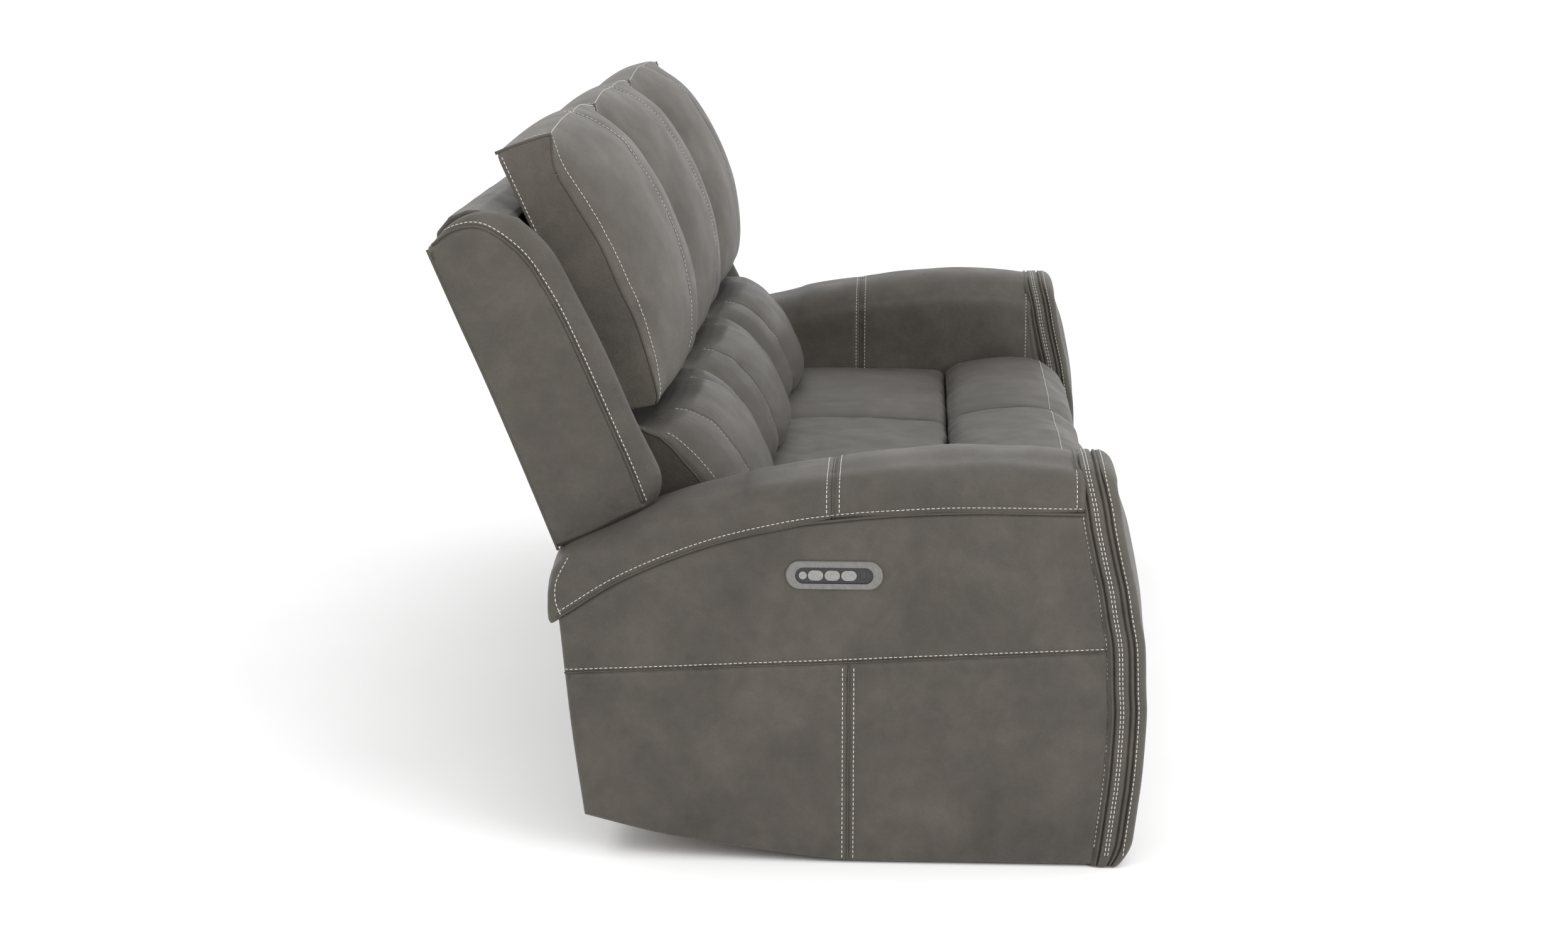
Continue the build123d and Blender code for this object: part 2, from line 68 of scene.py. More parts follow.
WING_OUTER = -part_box("right_outside_back")[0][0]
WING_THICK = 0.052
INSIDE_WING = (-WING_OUTER + WING_THICK - 0.004, -SPLIT - 0.002)
THREAD_STEP = 0.0075
THREAD_LENGTH = 0.0054
THREAD_RADIUS = 0.0008
MERGE = 0.00004                 # points closer than this become one
BAR_SIDES = 6
BAR_SECTIONS = ((0.0, 0.35, -0.6), (0.18, 0.95, 0.55), (0.5, 1.0, 1.0), (0.82, 0.95, 0.55),
                (1.0, 0.35, -0.6))  # of one stitch: share of its length, size and rise
WELT_SIDES = 10
WELT_INSET = 0.0020             # of a cushion's end piping from the cushion's end
ACROSS = (1, 0, 0)              # from the right-hand side towards the middle
CAP_RIM = 0.0015               # flat border round the end face of a swept form


# ---- materials -----------------------------------------------------------------------------

def new_material(name):
    """A node material with its tree, its shader and a coordinate source in metres."""
    material = bpy.data.materials.new(name)
    material.use_nodes = True
    nodes = material.node_tree.nodes
    shader = nodes["Principled BSDF"]
    coords = nodes.new("ShaderNodeTexCoord")
    return material, material.node_tree, shader, coords.outputs["Object"]


def noise(tree, coords, scale, detail=3.0, rough=0.55, warp=0.0):
    node = tree.nodes.new("ShaderNodeTexNoise")
    node.inputs["Scale"].default_value = scale
    node.inputs["Detail"].default_value = detail
    node.inputs["Roughness"].default_value = rough
    node.inputs["Distortion"].default_value = warp
    tree.links.new(coords, node.inputs["Vector"])
    return node.outputs["Fac"]


def ramp(tree, value, stops):
    node = tree.nodes.new("ShaderNodeValToRGB")
    elements = node.color_ramp.elements
    while len(elements) < len(stops):
        elements.new(0.5)
    for element, (place, colour) in zip(elements, stops):
        element.position = place
        element.color = (*colour, 1.0)
    tree.links.new(value, node.inputs["Fac"])
    return node.outputs["Color"]


def grey(level):
    return (level, level, level)


def mix(tree, kind, factor, first, second):
    node = tree.nodes.new("ShaderNodeMix")
    node.data_type = "RGBA"
    node.blend_type = kind
    if isinstance(factor, float):
        node.inputs["Factor"].default_value = factor
    else:
        tree.links.new(factor, node.inputs["Factor"])
    for socket, value in (("A", first), ("B", second)):
        target = [s for s in node.inputs if s.name == socket and s.type == "RGBA"][0]
        if isinstance(value, tuple):
            target.default_value = (*value, 1.0)
        else:
            tree.links.new(value, target)
    return [s for s in node.outputs if s.type == "RGBA"][0]


def bump(tree, height, strength, distance, under=None):
    node = tree.nodes.new("ShaderNodeBump")
    node.inputs["Strength"].default_value = strength
    node.inputs["Distance"].default_value = distance
    tree.links.new(height, node.inputs["Height"])
    if under is not None:
        tree.links.new(under, node.inputs["Normal"])
    return node.outputs["Normal"]


def leather_material(name, tint=1.0):
    """Waxed two-tone leather: soft cloudy mottling, fine pebble grain and paler worn ridges."""
    material, tree, shader, coords = new_material(name)
    dark = tuple(c * tint for c in (0.042, 0.0358, 0.0285))
    base = tuple(c * tint for c in (0.056, 0.0482, 0.0388))
    pale = tuple(c * tint for c in (0.075, 0.0655, 0.0535))
    clouds = noise(tree, coords, 8.0, 5.0, 0.6, 0.3)
    colour = ramp(tree, clouds, [(0.30, dark), (0.50, base), (0.72, pale)])
    streaks = ramp(tree, noise(tree, coords, 30.0, 5.0, 0.62, 0.5), [(0.35, grey(0.84)), (0.62, grey(1.06))])
    colour = mix(tree, "MULTIPLY", 0.7, colour, streaks)
    specks = ramp(tree, noise(tree, coords, 420.0, 2.0), [(0.30, grey(0.86)), (0.60, grey(1.04))])
    colour = mix(tree, "MULTIPLY", 0.7, colour, specks)
    geometry = tree.nodes.new("ShaderNodeNewGeometry")
    ridge = ramp(tree, geometry.outputs["Pointiness"], [(0.50, grey(0.0)), (0.60, grey(1.0))])
    worn = tuple(1.35 * c for c in pale)
    colour = mix(tree, "MIX", mix(tree, "MULTIPLY", 1.0, ridge, grey(0.35)), colour, worn)
    tree.links.new(colour, shader.inputs["Base Color"])
    rough = ramp(tree, noise(tree, coords, 14.0, 3.0), [(0.3, grey(0.40)), (0.7, grey(0.54))])
    tree.links.new(rough, shader.inputs["Roughness"])
    cells = tree.nodes.new("ShaderNodeTexVoronoi")
    cells.feature = "DISTANCE_TO_EDGE"
    cells.inputs["Scale"].default_value = 520.0
    tree.links.new(coords, cells.inputs["Vector"])
    pebbles = ramp(tree, cells.outputs["Distance"], [(0.0, grey(0.0)), (0.22, grey(1.0))])
    normal = bump(tree, pebbles, 0.55, 0.0005)
    normal = bump(tree, noise(tree, coords, 150.0, 4.0), 0.35, 0.0010, normal)
    normal = bump(tree, noise(tree, coords, 22.0, 3.0), 0.16, 0.0030, normal)
    tree.links.new(normal, shader.inputs["Normal"])
    shader.inputs["Specular IOR Level"].default_value = 0.36
    shader.inputs["Sheen Weight"].default_value = 0.08
    shader.inputs["Sheen Roughness"].default_value = 0.5
    return material


def thread_material():
    """Pale twisted polyester thread."""
    material, tree, shader, coords = new_material("thread")
    colour = ramp(tree, noise(tree, coords, 900.0), [(0.3, (0.36, 0.35, 0.32)), (0.7, (0.60, 0.59, 0.55))])
    tree.links.new(colour, shader.inputs["Base Color"])
    wave = tree.nodes.new("ShaderNodeTexWave")
    wave.inputs["Scale"].default_value = 500.0
    wave.bands_direction = "DIAGONAL"
    tree.links.new(coords, wave.inputs["Vector"])
    tree.links.new(bump(tree, wave.outputs["Fac"], 0.4, 0.0003), shader.inputs["Normal"])
    shader.inputs["Roughness"].default_value = 0.6
    return material


def hard_material(name, low, high, rough, metallic=0.0, scale=60.0, grain=0.0002, stretch=None):
    """Moulded, painted, machined or sawn stock with a faint uneven tone and surface."""
    material, tree, shader, coords = new_material(name)
    if stretch:
        mapping = tree.nodes.new("ShaderNodeMapping")
        mapping.inputs["Scale"].default_value = stretch
        tree.links.new(coords, mapping.inputs["Vector"])
        coords = mapping.outputs["Vector"]
    value = noise(tree, coords, scale, 4.0, 0.6, 0.3)
    tree.links.new(ramp(tree, value, [(0.3, low), (0.7, high)]), shader.inputs["Base Color"])
    matt = grey(min(1.0, rough * 1.15))
    spread = ramp(tree, noise(tree, coords, scale * 0.4), [(0.3, grey(rough * 0.85)), (0.7, matt)])
    tree.links.new(spread, shader.inputs["Roughness"])
    tree.links.new(bump(tree, noise(tree, coords, scale * 8.0), 0.3, grain), shader.inputs["Normal"])
    shader.inputs["Metallic"].default_value = metallic
    return material


LEATHER = leather_material("leather_taupe")
PIPING = leather_material("leather_piping", 0.82)
# Copy of the leather made 1.3 times paler for the headrests: a painted highlight, their lit look painted into
# the colour.
PAINTED_HIGHLIGHT_LEATHER = leather_material("leather_headrest_painted_highlight", 1.30)
THREAD = thread_material()
HARD = {
    "frame_wood": hard_material("plywood", (0.36, 0.25, 0.15), (0.52, 0.39, 0.25), 0.65, 0.0, 18.0, 0.0005,
                                (1.0, 6.0, 1.0)),
    "frame_steel": hard_material("black_steel", (0.018, 0.018, 0.020), (0.032, 0.032, 0.034), 0.42, 0.2),
    "bright_steel": hard_material("bright_steel", (0.50, 0.50, 0.51), (0.62, 0.62, 0.63), 0.28, 1.0, 90.0),
    "actuator_shell": hard_material("actuator_plastic", (0.022, 0.022, 0.024), (0.038, 0.038, 0.040), 0.50),
    "bezel_metal": hard_material("satin_bezel", (0.16, 0.155, 0.148), (0.21, 0.205, 0.197), 0.42, 0.8, 200.0,
                                 0.0001),
    "black_plastic": hard_material("black_plastic", (0.010, 0.010, 0.011), (0.020, 0.020, 0.021), 0.36, 0.0,
                                   200.0, 0.0001),
    "button_plastic": hard_material("button_plastic", (0.20, 0.195, 0.185), (0.26, 0.255, 0.245), 0.42, 0.3,
                                    200.0, 0.0001),
    "glide_plastic": hard_material("glide_plastic", (0.016, 0.016, 0.017), (0.028, 0.028, 0.029), 0.6),
}


def paint_cad_nodes():
    """Every CAD node gets the material of its record slot."""
    slots = {entry["node"]: entry["material_slot"] for entry in frame["record"]["subparts"]}
    for node, obj in frame["nodes"].items():
        material = HARD.get(slots[node], LEATHER)
        if not obj.material_slots:
            obj.data.materials.append(material)
        for place in obj.material_slots:
            place.material = material


# ---- curves and meshes ---------------------------------------------------------------------

def smooth_path(points, count, sharp=False):
    """count points evenly spaced along a Catmull-Rom curve, or along straight runs, through points."""
    points = np.asarray(points, float)
    if sharp or len(points) < 3:
        fine = points
    else:
        ends = np.vstack([2 * points[0] - points[1], points, 2 * points[-1] - points[-2]])
        t = np.linspace(0, 1, 24, endpoint=False)[:, None]
        runs = []
        for i in range(len(points) - 1):
            a, b, c, d = ends[i:i + 4]
            runs.append(0.5 * (2 * b + (c - a) * t + (2 * a - 5 * b + 4 * c - d) * t ** 2
                               + (3 * b - a - 3 * c + d) * t ** 3))
        fine = np.vstack(runs + [points[-1:]])
    lengths = np.r_[0, np.cumsum(np.linalg.norm(np.diff(fine, axis=0), axis=1))]
    places = np.linspace(0, lengths[-1], count)
    return np.column_stack([np.interp(places, lengths, fine[:, k]) for k in range(fine.shape[1])])


def soften(loop, times):
    """Round the corners of a closed loop by averaging neighbours."""
    for _ in range(times):
        loop = 0.25 * np.roll(loop, 1, axis=0) + 0.5 * loop + 0.25 * np.roll(loop, -1, axis=0)
    return loop


def roll(distance, radius):
    """0 at an edge rising as a quarter circle to 1 at radius from it."""
    reach = 1 - np.clip(distance / radius, 0, 1)
    return np.sqrt(np.clip(1 - reach * reach, 0, 1))


def spaced(count, bunch):
    """Places from 0 to 1, closer together at both ends."""
    t = np.linspace(0, 1, count)
    return (1 - bunch) * t + bunch * (0.5 - 0.5 * np.cos(math.pi * t))


def grid_faces(rows, columns, start=0, flip=False, wrap=False):
    faces = []
    for r in range(rows - 1):
        for c in range(columns if wrap else columns - 1):
            d = (c + 1) % columns
            quad = (start + r * columns + c, start + r * columns + d,
                    start + (r + 1) * columns + d, start + (r + 1) * columns + c)
            faces.append(quad[::-1] if flip else quad)
    return faces


def piece(name, verts, faces, body, material, slot="leather", merge=0.0, flip_fix=True):
    """A smooth-shaded mesh piece that rides on a body."""
    mesh = bpy.data.meshes.new(name)
    mesh.from_pydata([tuple(map(float, v)) for v in verts], [], faces)
    work = bmesh.new()
    work.from_mesh(mesh)
    if merge:
        bmesh.ops.remove_doubles(work, verts=work.verts, dist=merge)
    if flip_fix:
        bmesh.ops.recalc_face_normals(work, faces=work.faces)
    work.to_mesh(mesh)
    work.free()
    mesh.polygons.foreach_set("use_smooth", [len(p.vertices) <= 8 for p in mesh.polygons])
    mesh.materials.append(material)
    obj = bpy.data.objects.new(name, mesh)
    bpy.context.scene.collection.objects.link(obj)
    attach(obj, body)
    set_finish(obj, slot)
    return obj


def mirrored(obj, name, body):
    """A mirror image of a right-hand piece for the left-hand half."""
    mesh = obj.data.copy()
    mesh.name = name
    coords = np.empty(len(mesh.vertices) * 3)
    mesh.vertices.foreach_get("co", coords)
    coords[0::3] *= -1
    mesh.vertices.foreach_set("co", coords)
    mesh.flip_normals()
    twin = bpy.data.objects.new(name, mesh)
    bpy.context.scene.collection.objects.link(twin)
    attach(twin, body)
    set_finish(twin, obj["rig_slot"])
    return twin


def pillow(name, place, offset_axis, depth, counts, bunch, body, material=LEATHER):
    """A closed slab on a four-sided patch. place(u, v) gives points, depth(u, v, points) both half depths."""
    u, v = np.meshgrid(spaced(counts[0], bunch[0]), spaced(counts[1], bunch[1]))
    points = place(u, v)
    front, back = depth(u, v, points)
    axis = np.asarray(offset_axis, float)
    top = points + front[..., None] * axis
    bottom = points - back[..., None] * axis
    rows, columns = u.shape
    faces = grid_faces(rows, columns) + grid_faces(rows, columns, rows * columns, flip=True)
    verts = np.vstack([top.reshape(-1, 3), bottom.reshape(-1, 3)])
    return piece(name, verts, faces, body, material, merge=MERGE)


def coons(front, rear, low, high):
    """Patch between four (Y, Z) edges: front and rear run upwards, low and high run to the rear."""
    def sample(edge, t):
        table = smooth_path(edge, 400, sharp=len(edge) == 2)
        places = np.linspace(0, 1, 400)
        return np.stack([np.interp(t, places, table[:, k]) for k in (0, 1)], axis=-1)

    def place(u, v):
        corners = [np.asarray(p, float) for p in (low[0], low[-1], high[0], high[-1])]
        u1, v1 = u[..., None], v[..., None]
        flat = ((1 - v1) * sample(low, u) + v1 * sample(high, u)
                + (1 - u1) * sample(front, v) + u1 * sample(rear, v)
                - (1 - u1) * (1 - v1) * corners[0] - u1 * (1 - v1) * corners[1]
                - (1 - u1) * v1 * corners[2] - u1 * v1 * corners[3])
        return flat
    return place


def loft(name, loop_at, x_range, stations, body, end_radius, bunch=0.75, shape=None, material=LEATHER,
         axis=0):
    """A closed form swept along X (axis 0) or Y (axis 1). loop_at(a) is its closed loop at share a."""
    low, high = x_range
    shares = spaced(stations, bunch)
    verts = []
    for a in shares:
        loop = loop_at(a)
        x = low + a * (high - low)
        inset = end_radius * (1 - roll(min(a, 1 - a) * (high - low), end_radius))
        ahead = np.roll(loop, -1, axis=0) - np.roll(loop, 1, axis=0)
        normal = np.column_stack([ahead[:, 1], -ahead[:, 0]])
        normal /= np.linalg.norm(normal, axis=1)[:, None] + 1e-12
        if area_of(loop) < 0:
            normal = -normal
        loop = loop - normal * inset
        along = np.full(len(loop), x)
        ring = np.column_stack([along, loop] if axis == 0 else [loop[:, 0], along, loop[:, 1]])
        if shape is not None:
            ring = shape(a, ring, normal)
        verts.append(ring)
    columns = len(verts[0])
    faces = grid_faces(stations, columns, wrap=True)
    rings = list(verts)
    count = stations * columns
    plane = [1, 2] if axis == 0 else [0, 2]
    for end in (0, stations - 1):
        rim = verts[end]
        ahead = np.roll(rim, -1, axis=0) - np.roll(rim, 1, axis=0)
        inward = np.zeros_like(rim)
        inward[:, plane[0]], inward[:, plane[1]] = -ahead[:, plane[1]], ahead[:, plane[0]]
        inward /= np.linalg.norm(inward, axis=1)[:, None] + 1e-12
        if area_of(rim[:, plane]) < 0:
            inward = -inward
        rings.append(rim + inward * CAP_RIM)
        for c in range(columns):
            d = (c + 1) % columns
            faces.append((end * columns + c, end * columns + d, count + d, count + c))
        faces.append(tuple(range(count, count + columns)))
        count += columns
    return piece(name, np.vstack(rings), faces, body, material)


def area_of(loop):
    y, z = loop[:, 0], loop[:, 1]
    return 0.5 * np.sum(y * np.roll(z, -1) - np.roll(y, -1) * z)


def surface_tree(*objs):
    verts, faces = [], []
    for obj in objs:
        base = len(verts)
        verts += [v.co.copy() for v in obj.data.vertices]
        faces += [tuple(base + i for i in p.vertices) for p in obj.data.polygons]
    return BVHTree.FromPolygons(verts, faces)


def project(tree, points, direction, reach=0.25):
    """Points dropped onto a surface along a direction, with the surface normal at each."""
    direction = Vector(direction).normalized()
    found = []
    for p in points:
        start = Vector(p) - direction * reach
        hit, normal, _, _ = tree.ray_cast(start, direction, 3 * reach)
        if hit is None:
            hit, normal, _, _ = tree.find_nearest(Vector(p))
        if normal.dot(direction) > 0:
            normal = -normal
        found.append((np.array(hit), np.array(normal)))
    return found


def shifted(path, distance):
    """A (Y, Z) path moved sideways, to the right of its direction for a positive distance."""
    ahead = np.gradient(path, axis=0)
    ahead /= np.linalg.norm(ahead, axis=1)[:, None]
    return path + distance * np.column_stack([ahead[:, 1], -ahead[:, 0]])


class Sewing:
    """Collects stitches for one body and makes one mesh of them."""

    def __init__(self):
        self.verts = []
        self.faces = []

    def row(self, spots, lift=0.0003):
        """Stitches along placed points, each a rounded bar lying on the surface."""
        places = np.array([s[0] for s in spots])
        normals = np.array([s[1] for s in spots])
        lengths = np.r_[0, np.cumsum(np.linalg.norm(np.diff(places, axis=0), axis=1))]
        if lengths[-1] < THREAD_STEP:
            return
        count = int(lengths[-1] / THREAD_STEP)
        for i in range(count):
            middle = (i + 0.5) * lengths[-1] / count
            ends = middle + np.array([-0.5, 0.5]) * THREAD_LENGTH
            a, b = (np.array([np.interp(e, lengths, places[:, k]) for k in range(3)]) for e in ends)
            normal = np.array([np.interp(middle, lengths, normals[:, k]) for k in range(3)])
            self.bar(a, b, normal, lift)

    def bar(self, a, b, normal, lift):
        along = b - a
        length = np.linalg.norm(along)
        if length < 1e-6:
            return
        along = along / length
        normal = normal - along * normal.dot(along)
        normal = normal / (np.linalg.norm(normal) + 1e-12)
        side = np.cross(along, normal)
        base = len(self.verts)
        for share, size, rise in BAR_SECTIONS:
            centre = a + along * length * share + normal * (lift + rise * 0.0003)
            for k in range(BAR_SIDES):
                angle = 2 * math.pi * k / BAR_SIDES
                out = math.cos(angle) * side + 0.75 * math.sin(angle) * normal
                self.verts.append(centre + THREAD_RADIUS * size * out)
        last = base + (len(BAR_SECTIONS) - 1) * BAR_SIDES
        for ring in range(base, last, BAR_SIDES):
            for k in range(BAR_SIDES):
                n = (k + 1) % BAR_SIDES
                self.faces.append((ring + k, ring + n, ring + BAR_SIDES + n, ring + BAR_SIDES + k))
        self.faces.append(tuple(base + k for k in reversed(range(BAR_SIDES))))
        self.faces.append(tuple(last + k for k in range(BAR_SIDES)))

    def make(self, name, body):
        return piece(name, self.verts, self.faces, body, THREAD, flip_fix=False)


def welt(name, spots, radius, body, sink=0.25):
    """A leather piping cord laid along placed points, partly sunk into the seam."""
    places = np.array([s[0] + s[1] * radius * (1 - 2 * sink) * 0.6 for s in spots])
    normals = np.array([s[1] for s in spots])
    ahead = np.gradient(places, axis=0)
    ahead /= np.linalg.norm(ahead, axis=1)[:, None] + 1e-12
    sides = np.cross(ahead, normals)
    sides /= np.linalg.norm(sides, axis=1)[:, None] + 1e-12
    ups = np.cross(sides, ahead)
    verts = []
    for p, s, u in zip(places, sides, ups):
        for k in range(WELT_SIDES):
            angle = 2 * math.pi * k / WELT_SIDES
            verts.append(p + radius * (math.cos(angle) * s + math.sin(angle) * u))
    faces = grid_faces(len(places), WELT_SIDES, wrap=True)
    faces.append(tuple(range(WELT_SIDES)))
    last = (len(places) - 1) * WELT_SIDES
    faces.append(tuple(range(last, last + WELT_SIDES)))
    return piece(name, verts, faces, body, PIPING)


# ---- shared shapes -------------------------------------------------------------------------

def curve_value(points, at, column_from=0, column_to=1):
    """Smooth value of one column of a list of points at places of another column."""
    fine = smooth_path(points, 300)
    order = np.argsort(fine[:, column_from])
    return np.interp(at, fine[order, column_from], fine[order, column_to])


def line_distance(points, path):
    """Distance of each point to a polyline, in the same plane."""
    points = np.asarray(points, float)
    path = np.asarray(path, float)
    best = np.full(points.shape[:-1], 1e9)
    for a, b in zip(path[:-1], path[1:]):
        along = b - a
        size = along.dot(along)
        if size < 1e-14:
            continue
        t = np.clip(((points - a) @ along) / size, 0, 1)[..., None]
        best = np.minimum(best, np.linalg.norm(points - (a + t * along), axis=-1))
    return best


def ripple(points, length, seed, waves=16):
    """Smooth uneven field of about -1 to 1 with features of a given length."""
    rng = np.random.default_rng(seed)
    total = np.zeros(points.shape[:-1])
    for _ in range(waves):
        way = rng.normal(size=points.shape[-1])
        way /= np.linalg.norm(way)
        total += np.sin(points @ way * 2 * math.pi / (length * rng.uniform(0.7, 1.7)) + rng.uniform(0, 6.28))
    return total / math.sqrt(waves) * 0.8


def dip(distance, width):
    return np.exp(-(distance / width) ** 2)


def crown(a, power):
    return np.clip(4 * a * (1 - a), 0, 1) ** power


# ---- arm profiles, (Y, Z) ------------------------------------------------------------------

FLOOR_GAP = 0.003
PANEL_FRONT = [(-0.477, FLOOR_GAP), (-0.480, 0.031), (-0.487, 0.092), (-0.492, 0.139), (-0.495, 0.187),
               (-0.497, 0.243), (-0.495, 0.282), (-0.492, 0.348), (-0.484, 0.392), (-0.476, 0.439),
               (-0.466, 0.481), (-0.456, 0.527), (-0.4515, 0.553)]
PANEL_LOW = [(-0.477, FLOOR_GAP), (-0.290, FLOOR_GAP), (-0.109, FLOOR_GAP), (-0.020, 0.011), (0.090, 0.026),
             (0.185, 0.041), (0.302, 0.070)]
PANEL_REAR = [(0.302, 0.070), (0.318, 0.190), (0.329, 0.297), (0.337, 0.385)]
PAD_SEAM = [(-0.4515, 0.553), (-0.297, 0.554), (-0.178, 0.549), (-0.083, 0.540), (0.0, 0.528), (0.120, 0.496),
            (0.241, 0.445), (0.337, 0.385)]
PAD_SEAM_LONG = PAD_SEAM + [(0.352, 0.376)]
PAD_CREST = [(-0.460, 0.618), (-0.437, 0.621), (-0.359, 0.626), (-0.268, 0.6265), (-0.177, 0.620),
             (-0.070, 0.607), (0.036, 0.587), (0.066, 0.578), (0.137, 0.561), (0.197, 0.538), (0.262, 0.510),
             (0.333, 0.478), (0.352, 0.455)]
LEVEL_SEAM = [(0.333, 0.302), (0.120, 0.313), (-0.092, 0.324), (-0.290, 0.335), (-0.497, 0.346)]
WELT_DROP = 0.0055
UPRIGHT_SEAM_Y = -0.1015
UPRIGHT_STITCH = 0.0085
PAD_CROSS_Y = -0.0775
PAD_CROSS_STITCH = 0.0095
PAD_FRONT_ROW_Y = -0.4385
PAD_LEAN_FROM = -0.380          # the inner drop leans forward from here to meet the bands
PAD_LEAN_REACH = 0.080
FRONT_Y = [(-0.475, 0.624), (-0.497, 0.604), (-0.511, 0.563), (-0.530, 0.485), (-0.544, 0.400),
           (-0.549, 0.312), (-0.551, 0.201), (-0.548, 0.111), (-0.537, 0.042), (-0.524, 0.010),
           (-0.520, FLOOR_GAP)]
EDGE_Y = PANEL_FRONT + [(-0.448, 0.571), (-0.440, 0.605), (-0.437, 0.622)]
CONTROL_Y, CONTROL_Z = -0.080, 0.455
PANEL_MID = -1.0745


def side_panel():
    place_flat = coons(PANEL_FRONT, PANEL_REAR, PANEL_LOW, PAD_SEAM)
    level = [(y, z - WELT_DROP) for y, z in LEVEL_SEAM]
    upright = [(UPRIGHT_SEAM_Y, 0.0), (UPRIGHT_SEAM_Y, 0.318)]
    sides = (PANEL_LOW, PANEL_REAR, PAD_SEAM[::-1], PANEL_FRONT[::-1])
    rim = np.vstack([smooth_path(side, 90) for side in sides])

    def place(u, v):
        flat = place_flat(u, v)
        return np.concatenate([np.full(u.shape + (1,), PANEL_MID), flat], axis=-1)

    def depth(u, v, points):
        flat = points[..., 1:]
        edge = line_distance(flat, rim)
        seam = np.minimum(line_distance(flat, level), line_distance(flat, upright))
        near = np.minimum(edge, seam)
        control = np.hypot((flat[..., 0] - CONTROL_Y) / 0.12, (flat[..., 1] - CONTROL_Z) / 0.055)
        calm = np.clip(control - 0.7, 0, 1)
        puff = 0.0034 * (1 - np.exp(-(near / 0.055) ** 1.5)) * (0.25 + 0.75 * calm)
        relief = 0.0011 * ripple(flat, 0.16, 3) * calm
        relief += 0.0008 * ripple(flat, 0.021, 4) * np.exp(-near / 0.014)
        grooves = 0.0042 * dip(seam, 0.0032)
        for side in (-1, 1):
            row_y = UPRIGHT_SEAM_Y + side * UPRIGHT_STITCH
            row = [(row_y, 0.0), (row_y, 0.318)]
            grooves += 0.0009 * dip(line_distance(flat, row), 0.0030)
        grooves += 0.0009 * dip(line_distance(flat, LEVEL_SEAM), 0.0030)
        outer = roll(edge, 0.010) * 0.0098 + np.clip(edge / 0.02, 0, 1) * (puff + relief - grooves)
        return outer, 0.008 * roll(edge, 0.006)

    return pillow("right_arm_side_leather", place, (-1, 0, 0), depth, (330, 240), (0.45, 0.45), "root")


def arm_rear():
    """Leather over the rear end of the arm, turned in from the side panel."""
    low, high = np.array([0.303, 0.078]), np.array([0.337, 0.384])

    def place(u, v):
        x = -1.0700 + u * 0.1850
        line = low + v[..., None] * (high - low)
        return np.concatenate([x[..., None], line[..., :1] - 0.006, line[..., 1:]], axis=-1)

    def depth(u, v, points):
        edge = np.minimum(np.minimum(u, 1 - u) * 0.185, np.minimum(v, 1 - v) * 0.31)
        body = roll(edge, 0.007) * 0.0055
        return body + np.clip(edge / 0.02, 0, 1) * 0.0008 * ripple(points, 0.1, 17), body

    return pillow("right_arm_rear_leather", place, (0, 1, 0), depth, (60, 90), (0.6, 0.6), "root")


def arm_pad():
    """Pad over the arm and the leather that drops from it down the inner side of the arm."""
    low, high = PAD_SEAM_LONG[0][0], PAD_SEAM_LONG[-1][0]

    def section(y):
        seam = float(curve_value(PAD_SEAM_LONG, y))
        crest = float(curve_value(PAD_CREST, y))
        tall = crest - seam
        foot = max(0.102, 0.078 + (y - 0.301) * 9.0) if y > 0.301 else 0.102
        foot = min(foot, seam - 0.020)
        drop = max(0.300, foot + 0.012)
        points = [(-1.0780, seam - 0.004), (-1.0868, seam + 0.006), (-1.0905, seam + 0.30 * tall),
                  (-1.0850, seam + 0.62 * tall), (-1.0640, seam + 0.86 * tall), (-1.0300, crest - 0.0045),
                  (-0.9850, crest), (-0.9350, crest - 0.003), (-0.8980, crest - 0.017),
                  (-0.8740, crest - 0.042), (-0.8640, crest - 0.085), (-0.8630, drop),
                  (-0.8650, foot + 0.008), (-0.8730, foot), (-0.8830, foot + 0.008), (-0.8850, drop),
                  (-0.8960, crest - 0.095), (-0.9250, seam - 0.012), (-1.0500, seam - 0.010)]
        return closed_path(points, 230)

    def shape(a, ring, normal):
        y = ring[0, 1]
        cross = abs(y - PAD_CROSS_Y)
        sink = 0.0045 * dip(cross, 0.0032)
        for side in (-1, 1):
            sink += 0.0011 * dip(abs(y - PAD_CROSS_Y - side * PAD_CROSS_STITCH), 0.0028)
        sink += 0.0013 * dip(abs(y - PAD_FRONT_ROW_Y), 0.0030)
        near = min(cross, abs(y + 0.4515), abs(y - 0.352))
        puff = 0.0030 * (1 - math.exp(-(near / 0.06) ** 1.5))
        soft = 0.0016 * ripple(ring, 0.13, 7) + 0.0009 * ripple(ring, 0.024, 8) * math.exp(-near / 0.016)
        keep = np.clip((ring[:, 2] - 0.13) / 0.05, 0, 1) * np.where(normal_out(normal, ring) > 0, 1.0, 0.0)
        ring = ring + pad_normal(normal) * ((puff + soft - sink) * keep)[:, None]
        edge = curve_value(EDGE_Y, ring[:, 2], 1, 0)
        share = np.clip((PAD_LEAN_FROM - y) / PAD_LEAN_REACH, 0, 1) * (ring[:, 0] > -0.900)
        ring[:, 1] += np.minimum(0, edge + 0.001 - low) * share
        return ring

    def pad_normal(normal):
        return np.column_stack([normal[:, 0], np.zeros(len(normal)), normal[:, 1]])

    def normal_out(normal, ring):
        return np.where((ring[:, 0] > -0.872) | (ring[:, 0] < -1.079) | (normal[:, 1] > 0.05), 1.0, -1.0)

    return loft("right_arm_pad_leather", lambda a: section(low + a * (high - low)), (low, high), 230, "root",
                0.007, bunch=0.35, shape=shape, axis=1)


